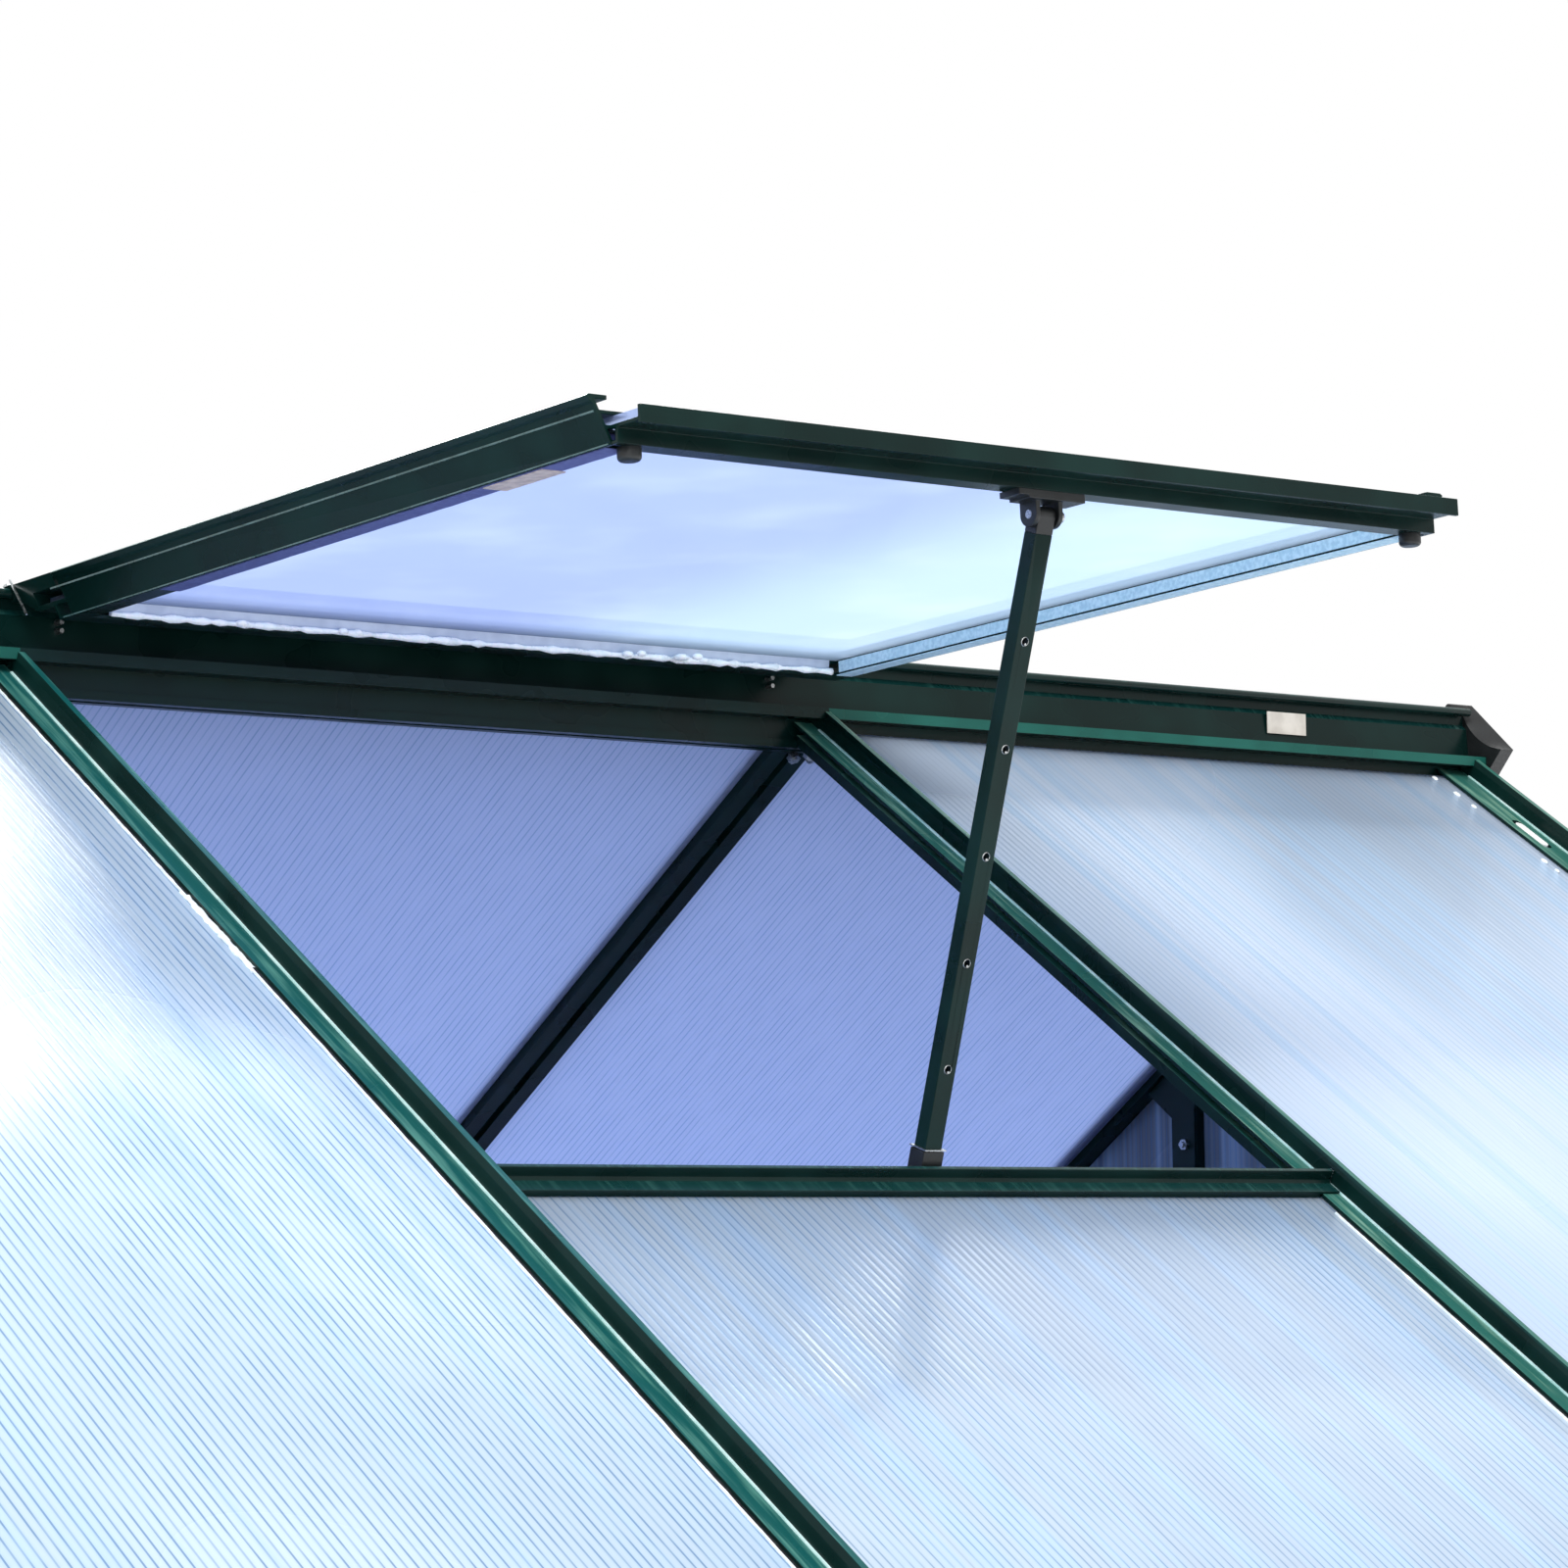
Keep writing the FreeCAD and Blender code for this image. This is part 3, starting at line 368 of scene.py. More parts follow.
def bare_metal(name, shade, light, rough, grain_size, stretch):
    """Bare or plated metal: bright, with the fine marks of the saw, the die or the plating bath."""
    material, tree, output = blank(name)
    marks = grained(tree, grain_size, 3.0, stretch)
    surface = add(
        tree,
        "ShaderNodeBsdfPrincipled",
        {"Metallic": 1.0},
        {
            "Base Color": blended(tree, between(tree, marks, 0.3, 0.7), shade, light),
            "Roughness": between(tree, marks, 0.3, 0.7, rough - 0.08, rough + 0.1),
            "Normal": raised(tree, marks, 0.05 * MM, 0.5),
        },
    )
    tree.links.new(surface.outputs["BSDF"], output.inputs["Surface"])
    return material


def soft_seal(name, shade, light, rough, lump):
    """Rubber or silicone seal: a soft even skin, lumpy where it was pressed by hand."""
    material, tree, output = blank(name)
    lumps = grained(tree, lump, 4.0)
    surface = add(
        tree,
        "ShaderNodeBsdfPrincipled",
        {"IOR": 1.43, "Subsurface Weight": 0.05, "Subsurface Scale": 0.5 * MM},
        {
            "Base Color": blended(tree, between(tree, lumps, 0.35, 0.65), shade, light),
            "Roughness": between(tree, lumps, 0.3, 0.7, rough - 0.1, rough + 0.1),
            "Normal": raised(tree, lumps, 0.2 * MM, 0.6),
        },
    )
    tree.links.new(surface.outputs["BSDF"], output.inputs["Surface"])
    return material


# ---------------------------------------------------------------- shapes


def bar(bm, low, high):
    """A box between two corners."""
    low, high = Vector(low), Vector(high)
    size = high - low
    made = bmesh.ops.create_cube(bm, size=1.0)["verts"]
    bmesh.ops.transform(
        bm, matrix=Matrix.Translation((low + high) / 2) @ Matrix.Diagonal((*size, 1.0)), verts=made
    )
    return made


def strip(bm, low, high, cuts, wander, seed):
    """A long box along Y whose sides wander a little, as a hand-pressed strip does."""
    known = len(bm.verts)
    made = bar(bm, low, high)
    edges = {e for v in made for e in v.link_edges}
    along = [e for e in edges if abs(e.verts[0].co.y - e.verts[1].co.y) > 1e-6]
    bmesh.ops.subdivide_edges(bm, edges=along, cuts=cuts, use_grid_fill=True)
    bm.verts.ensure_lookup_table()
    draw = random.Random(seed)
    rings = {}
    for v in bm.verts[known:]:
        drawn = (draw.uniform(-wander, wander), draw.uniform(-wander, wander))
        shift = rings.setdefault(round(v.co.y, 6), drawn)
        v.co.x += shift[0] if v.co.x < (low[0] + high[0]) / 2 else shift[1]


def peg(bm, centre, radius, depth, sides=20, turn=LEVEL, tip=None):
    """A round or many-sided peg along Z of its turn, centred where it is put."""
    made = bmesh.ops.create_cone(
        bm,
        cap_ends=True,
        segments=sides,
        radius1=radius,
        radius2=radius if tip is None else tip,
        depth=depth,
    )["verts"]
    bmesh.ops.transform(bm, matrix=Matrix.Translation(centre) @ turn, verts=made)
    return made


def blob(bm, centre, size, seed):
    """A lump of sealant."""
    made = bmesh.ops.create_icosphere(bm, subdivisions=2, radius=1.0)["verts"]
    draw = random.Random(seed)
    for v in made:
        v.co *= draw.uniform(0.85, 1.1)
    place = Matrix.Translation(centre) @ Matrix.Diagonal((*size, 1.0))
    bmesh.ops.transform(bm, matrix=place, verts=made)


def bead(bm, path, radii, sides=8):
    """A round bead through the points of a path, with its own radius at each."""
    first, second = Vector(path[0]), Vector(path[1])
    turn = (second - first).to_track_quat("Z", "Y").to_matrix().to_4x4()
    ring = bmesh.ops.create_circle(bm, cap_ends=True, radius=radii[0], segments=sides)["verts"]
    bmesh.ops.transform(bm, matrix=Matrix.Translation(first) @ turn, verts=ring)
    face = next(iter(set.intersection(*[set(v.link_faces) for v in ring])))
    centre = first
    for point, radius, before in zip(path[1:], radii[1:], radii):
        grown = bmesh.ops.extrude_face_region(bm, geom=[face], use_keep_orig=centre is first)["geom"]
        face = next(g for g in grown if isinstance(g, bmesh.types.BMFace))
        target = Vector(point)
        bmesh.ops.translate(bm, vec=target - centre, verts=face.verts)
        bmesh.ops.scale(
            bm, vec=(radius / before,) * 3, space=Matrix.Translation(-target), verts=face.verts
        )
        centre = target


def piece(name, bm, place, material, body, smooth=False):
    """Puts a finished bmesh in its place as a piece that rides on a body."""
    bmesh.ops.transform(bm, matrix=place, verts=bm.verts)
    bmesh.ops.recalc_face_normals(bm, faces=bm.faces)
    mesh = bpy.data.meshes.new(name)
    bm.to_mesh(mesh)
    bm.free()
    mesh.polygons.foreach_set("use_smooth", [smooth] * len(mesh.polygons))
    mesh.materials.append(material)
    made = bpy.data.objects.new(name, mesh)
    bpy.context.scene.collection.objects.link(made)
    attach(made, body)
    return made


def coat(material, nodes, rounding=0.4 * MM):
    """Gives CAD nodes a finish, and their edges the small radius of a drawn or moulded part."""
    for name in nodes:
        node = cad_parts[name]
        node.data.materials.clear()
        node.data.materials.append(material)
        weld = node.modifiers.new("merge", "WELD")
        weld.merge_threshold = 0.01 * MM
        if rounding:
            bevel = node.modifiers.new("edge_radius", "BEVEL")
            bevel.width = rounding
            bevel.segments = 2
            bevel.limit_method = "ANGLE"
            bevel.angle_limit = math.radians(32)


def ribbed_sheet(node, side, look, material, inner=None):
    """One twin-wall sheet on a slope: its top and under skin swell a little between the webs."""
    low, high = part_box(node)
    near = side is NEAR
    reach = -low.y if near else high.y
    run_low = (reach - SHEET_TOP * math.sin(PITCH)) / math.cos(PITCH) - 0.3 * MM
    run_top = (APEX + SHEET_TOP * math.cos(PITCH) - high.z) / math.sin(PITCH) + 0.2 * MM
    left, right = (low.x, high.x) if near else (-high.x, -low.x)
    cells = round((right - left) / look.web_pitch)
    steps = cells * look.steps_per_cell
    bm = bmesh.new()
    bmesh.ops.create_grid(bm, x_segments=steps, y_segments=1, size=0.5)
    width, run = right - left, run_low - run_top
    place = Matrix.Translation(((left + right) / 2, -(run_top + run_low) / 2, SHEET_TOP))
    bmesh.ops.transform(bm, matrix=place @ Matrix.Diagonal((width, run, 1, 1)), verts=bm.verts)
    draw = random.Random(node)
    swell = [look.swell * draw.uniform(0.5, 1.0) for _ in range(cells + 1)]
    for v in bm.verts:
        along = (v.co.x - left) / width * cells
        v.co.z -= swell[min(int(along), cells)] * (0.5 + 0.5 * math.cos(2 * math.pi * along))
    top = list(bm.faces)
    under = bmesh.ops.extrude_face_region(bm, geom=top, use_keep_orig=True)["geom"]
    skin = [g for g in under if isinstance(g, bmesh.types.BMVert)]
    bmesh.ops.translate(bm, vec=(0, 0, SHEET_UNDER - SHEET_TOP + look.swell), verts=skin)
    sheet = piece(node + "_sheet", bm, side, material, "roof")
    facet = run * width / steps
    if inner:
        sheet.data.materials.append(inner)
    for face in sheet.data.polygons:
        face.use_smooth = abs(face.normal.x) < 0.5 and face.area > 0.2 * facet
        face.material_index = 1 if inner and face.normal.z < -0.1 else 0
    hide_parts(node)
    return sheet


# ---------------------------------------------------------------- sizes and colours


class SheetLook(bpy.types.PropertyGroup):
    """Sizes and colours of the ribbed sheets."""

    web_pitch: FloatProperty(
        name="Web pitch",
        description="Distance from one web of the twin-wall sheet to the next",
        default=6.04 * MM,
        unit="LENGTH",
        precision=5,
    )
    web_width: FloatProperty(
        name="Web line width",
        description="Width of the dark line that each web shows",
        default=1.1 * MM,
        unit="LENGTH",
        precision=5,
    )
    swell: FloatProperty(
        name="Swell",
        description="How far a skin sinks at each web",
        default=0.16 * MM,
        unit="LENGTH",
        precision=5,
    )
    steps_per_cell: IntProperty(
        name="Steps per cell", description="Facets across one cell of a skin", default=6, min=4, max=12
    )
    web_hex: StringProperty(
        name="Web colour", description="sRGB hex colour of a web's line", default="#5f86b4"
    )
    # Colour of the painted reflection streaks along the webs.
    reflection_streak_hex: StringProperty(
        name="Streak colour",
        description="sRGB hex colour of the faint streaks along the webs",
        default="#b6d2ee",
    )


class FinishLook(bpy.types.PropertyGroup):
    """Colours of the coated, moulded and plated parts."""

    coat_hex: StringProperty(
        name="Coat, dark",
        description="sRGB hex colour of the powder coat where it is darkest",
        default="#041a18",
    )
    coat_light_hex: StringProperty(
        name="Coat, light",
        description="sRGB hex colour of the powder coat where it is lightest",
        default="#072522",
    )
    # Painted light: the lighter teal given to faces that look up, for the light that falls on them from
    # above.
    coat_top_light_hex: StringProperty(
        name="Coat, chalked",
        description="sRGB hex colour of the powder coat on faces that look up",
        default="#12504f",
    )
    # Painted light: the lighter teal of the sheet laid over the ridge lip's outer face.
    lip_light_hex: StringProperty(
        name="Ridge lip", description="sRGB hex colour of the ridge lip's outer face", default="#154b43"
    )
    coat_dust_hex: StringProperty(
        name="Dust", description="sRGB hex colour of dust on the powder coat", default="#5c9488"
    )
    cap_hex: StringProperty(
        name="Cap", description="sRGB hex colour of the moulded ridge caps", default="#090c0e"
    )


class TrimLook(bpy.types.PropertyGroup):
    """Sizes of the seals, the painted highlights at the fin fillets, and the rims."""

    seal_gap_start: FloatProperty(
        name="Seal gap, top",
        description="Where the seal left of the vent's left rafter stops, down the slope from the apex",
        default=0.3007,
        unit="LENGTH",
        precision=4,
    )
    seal_gap_end: FloatProperty(
        name="Seal gap, foot",
        description="Where that seal goes on again",
        default=0.3820,
        unit="LENGTH",
        precision=4,
    )
    sill_run: FloatProperty(
        name="Sill run",
        description="Where the seals below the vent start, down the slope from the apex",
        default=0.634,
        unit="LENGTH",
        precision=4,
    )
    # Width of the pale strip at the foot of each fin: a painted highlight on the fin's fillet.
    fillet: FloatProperty(
        name="Fillet",
        description="Width of the bright fillet at the foot of a fin",
        default=1.5 * MM,
        unit="LENGTH",
        precision=5,
    )
    hole_rim: FloatProperty(
        name="Hole rim",
        description="Outside radius of the rim round a peg hole of the stay",
        default=2.9 * MM,
        unit="LENGTH",
        precision=5,
    )


class StageLook(bpy.types.PropertyGroup):
    """Camera and light."""

    lens: FloatProperty(
        name="Focal length", description="Focal length of the camera", default=121.73, unit="CAMERA"
    )
    floor_half: FloatProperty(
        name="Floor half width",
        description="Half the width of the plain floor",
        default=30.0,
        unit="LENGTH",
    )
    key_strength: FloatProperty(
        name="Key light",
        description="Power of the large soft light in watts",
        default=330.0,
        unit="POWER",
    )
    back_strength: FloatProperty(
        name="Back light",
        description="Power of the soft light behind the far slope in watts",
        default=490.0,
        unit="POWER",
    )
    sky_colour: FloatVectorProperty(
        name="Surrounding light",
        description="Colour of the even light all round",
        subtype="COLOR",
        size=3,
        default=(1.0, 1.0, 1.0),
    )


# ---------------------------------------------------------------- operators


class CoatFrame(bpy.types.Operator):
    """Give every bar, cap, pin and moulding its finish"""

    bl_idname = "greenhouse.coat_frame"
    bl_label = "Coat the frame"

    def execute(self, context):
        look = context.scene.greenhouse_finishes
        shades = (look.coat_hex, look.coat_light_hex)
        green = powder_coat("green_powder_coat", *shades, look.coat_top_light_hex, look.coat_dust_hex)
        # Painted shade: a darker copy of the coat for the vent's parts and those under it, whose faces
        # that look up get less painted light.
        shaded_coat = powder_coat("green_powder_coat_painted_shade", *shades, "#0a2f2e", "#2d5550")
        # Painted reflection: a paler copy of the coat whose faces that look up carry a pale sage sheen.
        sheen_coat = powder_coat("green_powder_coat_painted_sheen", *shades, "#2a6259", "#8fb6a0")
        clear = clear_pane()
        grey = moulded("grey_moulded_cap", look.cap_hex, "#121618", 0.5, 1.5 * MM)
        black = moulded("black_moulded_nylon", "#0d1011", "#171b1d", 0.42, 0.9 * MM)
        zinc = bare_metal("zinc_plated_steel", "#8f9294", "#c9cbcc", 0.32, 0.8 * MM, (1, 1, 1))
        by_slot = {
            "green_coated_aluminium": (green, 0.4 * MM),
            "clear_sheet": (clear, 0.0),
            "grey_moulding": (grey, 0.8 * MM),
            "black_moulding": (black, 0.4 * MM),
            "plated_steel": (zinc, 0.2 * MM),
        }
        for name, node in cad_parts.items():
            slot = node.data.materials[0].name.split(".")[0]
            if slot in by_slot:
                coat(by_slot[slot][0], [name], by_slot[slot][1])
        # The shaded copy goes on the vent rails, sill, ridge and stay; the copy with the painted sheen
        # on near rafters 3 and 4.
        for finish, names in (
            (shaded_coat, ("vent_sill", "vent_hinge_rail", "vent_free_rail", "ridge_beam", "stay_arm")),
            (sheen_coat, ("near_rafter_3", "near_rafter_4")),
        ):
            for name in names:
                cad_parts[name].data.materials[0] = finish
        return {"FINISHED"}


class LaySheets(bpy.types.Operator):
    """Lay the ribbed twin-wall sheets on the slopes and in the gables"""

    bl_idname = "greenhouse.lay_sheets"
    bl_label = "Lay the sheets"

    def execute(self, context):
        look = context.scene.greenhouse_sheets
        near_turn, far_turn = (-PITCH, 0, 0), (PITCH, 0, 0)
        level = (0, 0, 0)
        crisp, soft, inner, shade, outer, gable = (
            twin_wall("twin_wall_" + name, look, *rest)
            for name, *rest in (
                ("clear_webs", near_turn, 0.8, "#b7cde0", "#c8dcee", "#c4d8f8", 0.07, 0.14),
                ("soft_webs", near_turn, 0.16, "#bacbdf", "#ccdcf0", "#c4d8f8", 0.07, 0.14),
                ("under_vent", near_turn, 0.6, "#bfd1e0", "#b7c8d9", "#c8dafc", 0.1, 0.14),
                # Painted shade: the far sheets' under skins get this darker, bluer copy of the sheet
                # material, on top of their real translucency.
                ("far_inside_painted_shade", far_turn, 0.5, "#b4c6f0", "#c2d2f4", "#a3b2dc", 0, 0.92),
                ("far_outside", far_turn, 0.3, "#cfdff2", "#dde9f8", "#dbe4f6", 0, 0.55),
                ("gable", level, 0.5, "#6e7886", "#7c8794", "#4e5768", 0, 0.45, "Y"),
            )
        )
        ribbed_sheet("near_panel_1", NEAR, look, crisp)
        ribbed_sheet("near_panel_3", NEAR, look, soft)
        ribbed_sheet("panel_under_vent", NEAR, look, inner)
        for number in (1, 2, 3):
            # Each far sheet's under skin takes the darker copy: painted shade.
            ribbed_sheet(f"far_panel_{number}", FAR, look, outer, shade)
        coat(gable, ["gable_panel_left", "gable_panel_right"], 0.0)
        return {"FINISHED"}


class FitSeals(bpy.types.Operator):
    """Press the black and white glazing seals in along the rafters"""

    bl_idname = "greenhouse.fit_seals"
    bl_label = "Fit the glazing seals"

    def execute(self, context):
        look = context.scene.greenhouse_trim
        rubber = soft_seal("black_rubber_seal", "#0b1114", "#191f22", 0.55, 6 * MM)
        silicone = soft_seal("white_silicone_seal", "#dfe9ec", "#f5fafb", 0.3, 5 * MM)
        gap_start, gap_end = look.seal_gap_start, look.seal_gap_end
        for side, side_name in ((NEAR, "near"), (FAR, "far")):
            black, white = bmesh.new(), bmesh.new()
            for row, line in enumerate(RAFTER_LINES):
                for hand in (-1, 1):
                    if (row == 0 and hand < 0) or (row == 3 and hand > 0):
                        continue
                    over_vent = side is NEAR and (row, hand) in ((1, 1), (2, -1))
                    start = look.sill_run if over_vent else SHEET_START
                    runs = [(start, RAFTER_LOW_END)]
                    if side is NEAR and (row, hand) == (1, -1):
                        runs = [(start, gap_start), (gap_end, RAFTER_LOW_END)]
                    for run, (first, last) in enumerate(runs):
                        seed = row * 10 + hand + run * 3
                        for bm, (gap, width, top) in ((black, BLACK_SEAL), (white, WHITE_SEAL)):
                            edges = [line + hand * (FLANGE_HALF + (gap + w) * MM) for w in (0, width)]
                            low = (min(edges), -last, SHEET_TOP - 0.1 * MM)
                            high = (max(edges), -first, SHEET_TOP + top * MM)
                            strip(bm, low, high, 60, 0.25 * MM, seed)
            if side is NEAR:
                edge = RAFTER_LINES[1] - FLANGE_HALF
                low = (edge - 4.5 * MM, -gap_end - 4 * MM, SHEET_TOP - 0.1 * MM)
                high = (edge - 0.3 * MM, -gap_start + 4 * MM, SHEET_TOP + 0.9 * MM)
                strip(white, low, high, 26, 0.9 * MM, 7)
            piece(side_name + "_black_seals", black, side, rubber, "roof")
            piece(side_name + "_white_seals", white, side, silicone, "roof")
        return {"FINISHED"}


class PaintFinHighlights(bpy.types.Operator):
    """Draw a pale strip at the foot of each rafter's fin, a painted highlight on its fillet"""

    bl_idname = "greenhouse.draw_beads"
    bl_label = "Paint the fin highlights"

    def execute(self, context):
        look = context.scene.greenhouse_trim
        # Painted highlight: a pale strip where the fin's fillet catches the sky.
        fin_highlight_finish = moulded("painted_fin_highlight", "#a9d6d4", "#d8f3f2", 0.3, 2 * MM)
        for side, side_name in ((NEAR, "near"), (FAR, "far")):
            bm = bmesh.new()
            for row, line in enumerate(RAFTER_LINES):
                for hand in (-1, 1):
                    foot = line + hand * FIN_HALF
                    edges = sorted((foot, foot + hand * look.fillet))
                    low = (edges[0], -RAFTER_LOW_END, FLANGE_TOP)
                    high = (edges[1], -SHEET_START, FLANGE_TOP + look.fillet * 0.6)
                    strip(bm, low, high, 40, 0.12 * MM, row + hand)
            piece(side_name + "_fin_fillets", bm, side, fin_highlight_finish, "roof")
        return {"FINISHED"}


class DriveFixings(bpy.types.Operator):
    """Put in the bolts, nuts and pins"""

    bl_idname = "greenhouse.drive_fixings"
    bl_label = "Drive the fixings"

    def execute(self, context):
        zinc = bpy.data.materials["zinc_plated_steel"]
        across = Matrix.Rotation(math.pi / 2, 4, "Y")
        bm = bmesh.new()
        for hand in (-1, 1):
            for fore in (-1, 1):
                for y, z in GUSSET_BOLTS:
                    nut = hand * (GUSSET_INNER - 1.6 * MM)
                    stub, head = nut - hand * 2.2 * MM, hand * (GUSSET_OUTER + 1.0 * MM)
                    peg(bm, (nut, fore * y, z), 4.6 * MM, 3.2 * MM, 6, across)
                    peg(bm, (stub, fore * y, z), 2.4 * MM, 3.4 * MM, 16, across)
                    peg(bm, (head, fore * y, z), 4.2 * MM, 2.0 * MM, 20, across, 2.8 * MM)
        piece("gusset_bolts", bm, LEVEL, zinc, "roof")
        facing = Matrix.Rotation(math.pi / 2, 4, "X")
        bm = bmesh.new()
        for hand in (-1, 1):
            for up in (4.7, -0.6):
                centre = (hand * 0.2740, -9.5 * MM, APEX + up * MM)
                peg(bm, centre, 2.1 * MM, 6.0 * MM, 14, facing, 1.5 * MM)
        piece("hinge_stop_pins", bm, LEVEL, zinc, "roof")
        for side, side_name in ((NEAR, "near"), (FAR, "far")):
            bm = bmesh.new()
            for row, line in enumerate(RAFTER_LINES):
                hand = 1 if row < 2 else -1
                for x, size in ((line + hand * 2.2 * MM, 4.6), (line - hand * 11.8 * MM, 3.0)):
                    peg(bm, (x, -0.0325, -33.2 * MM), size * MM, 3.8 * MM, 6)
                    peg(bm, (x, -0.0325, -31.0 * MM), size * 0.5 * MM, 10.4 * MM, 14)
            piece(side_name + "_rafter_nuts", bm, side, zinc, "roof")
        return {"FINISHED"}


class TrimVent(bpy.types.Operator):
    """Fit the vent's sealant and draught strips"""

    bl_idname = "greenhouse.trim_vent"
    bl_label = "Trim the vent"

    def execute(self, context):
        sealant = soft_seal("white_silicone_sealant", "#f4fbfc", "#ffffff", 0.28, 4 * MM)
        hinge_shade_finish = moulded("painted_hinge_shade", "#b0bacd", "#c3ccdb", 0.35, 30 * MM)
        # Painted reflection: the strips under and inside the side rails share one seal material,
        # lavender on the left and pale blue on the right.
        lavender_reflection_seal = soft_seal("seal_painted_lavender_reflection", "#474e86", "#5b6398", 0.75, 3 * MM)
        pale_reflection_seal = soft_seal("seal_painted_pale_reflection", "#a9cbdc", "#c6e1ee", 0.7, 3 * MM)
        rubber = soft_seal("brown_rubber_bumper", "#4b4340", "#665b55", 0.6, 2 * MM)
        # A pinkish patch on the left draught strip.
        patch = soft_seal("pinkish_strip_patch", "#a79a9c", "#c4b6b4", 0.6, 5 * MM)
        draw = random.Random(4)
        path, radii = [], []
        for step in range(96):
            share = step / 95
            path.append((-0.272 + 0.552 * share, -0.0565 - draw.uniform(-0.7, 1.3) * MM, -19.6 * MM))
            radii.append((1.9 + draw.uniform(-0.7, 0.9)) * MM)
        # Painted shade: a thin grey band under the pane along the hinge, where the ridge shades it.
        bm = bmesh.new()
        strip(bm, (0, 0, 0), (8.6 * MM, 0.552, 1.2 * MM), 60, 0.05 * MM, 9)
        lay = Matrix.Translation((-0.272, -0.0545, -20.2 * MM)) @ Matrix.Rotation(-math.pi / 2, 4, "Z")
        raked = VENT @ lay @ Matrix.Rotation(-math.pi / 2 + 0.15, 4, "Y")
        piece("hinge_shade_band", bm, raked, hinge_shade_finish, "vent")
        bm = bmesh.new()
        bead(bm, path, radii)
        for number, (x, out, size) in enumerate(SEALANT_LUMPS):
            blob(bm, (x, -out * MM, -19.2 * MM), (size * 1.3 * MM, size * MM, 2.2 * MM), number)
        piece("hinge_sealant", bm, VENT, sealant, "vent", smooth=True)
        # Painted highlights: thin pale strips along each side rail's outer face, near its top and at its
        # foot.
        shine = moulded("painted_rail_highlight", "#34504f", "#4f6c6e", 0.3, 3 * MM)
        bm = bmesh.new()
        for hand in (-1, 1):
            for level, width in ((-4.6, 1.0), (-21.3, 0.7)):
                face = RAIL_FOOT + RAIL_FLARE * MM * (level - VENT_UNDER) / RAIL_HEIGHT
                edges = sorted((hand * (face + 0.45 * MM), hand * (face - 0.6 * MM)))
                low = (edges[0], -0.590, (level - width / 2) * MM)
                strip(bm, low, (edges[1], -0.045, (level + width / 2) * MM), 50, 0.08 * MM, hand + 5)
        piece("rail_highlight_lines", bm, VENT, shine, "vent")
        # The draught strips lie under the rails' lower flanges, their colours painted reflections; the
        # wall strips cover the rails' shaded inner walls with painted light.
        for name, finish, across, along, up in (
            ("left_draught_strip", lavender_reflection_seal, (-0.2962, -0.2822), (-0.585, -0.150), (-22.5, -22.0)),
            ("right_draught_strip", pale_reflection_seal, (0.2822, 0.2950), (-0.585, -0.060), (-22.5, -22.0)),
            ("left_wall_painted_light", lavender_reflection_seal, (-0.2900, -LIP_INNER), (-0.582, -0.062), (-20.6, -13.2)),
            ("right_wall_painted_light", pale_reflection_seal, (LIP_INNER, 0.2900), (-0.582, -0.062), (-20.6, -13.2)),
            ("strip_patch", patch, (-0.2955, -0.2800), (-0.528, -0.474), (-23.0, -22.5)),
        ):
            bm = bmesh.new()
            low, high = ((across[i], along[i], up[i] * MM) for i in (0, 1))
            strip(bm, low, high, 40, 0.25 * MM, 3)
            piece(name, bm, VENT, finish, "vent")
        return {"FINISHED"}


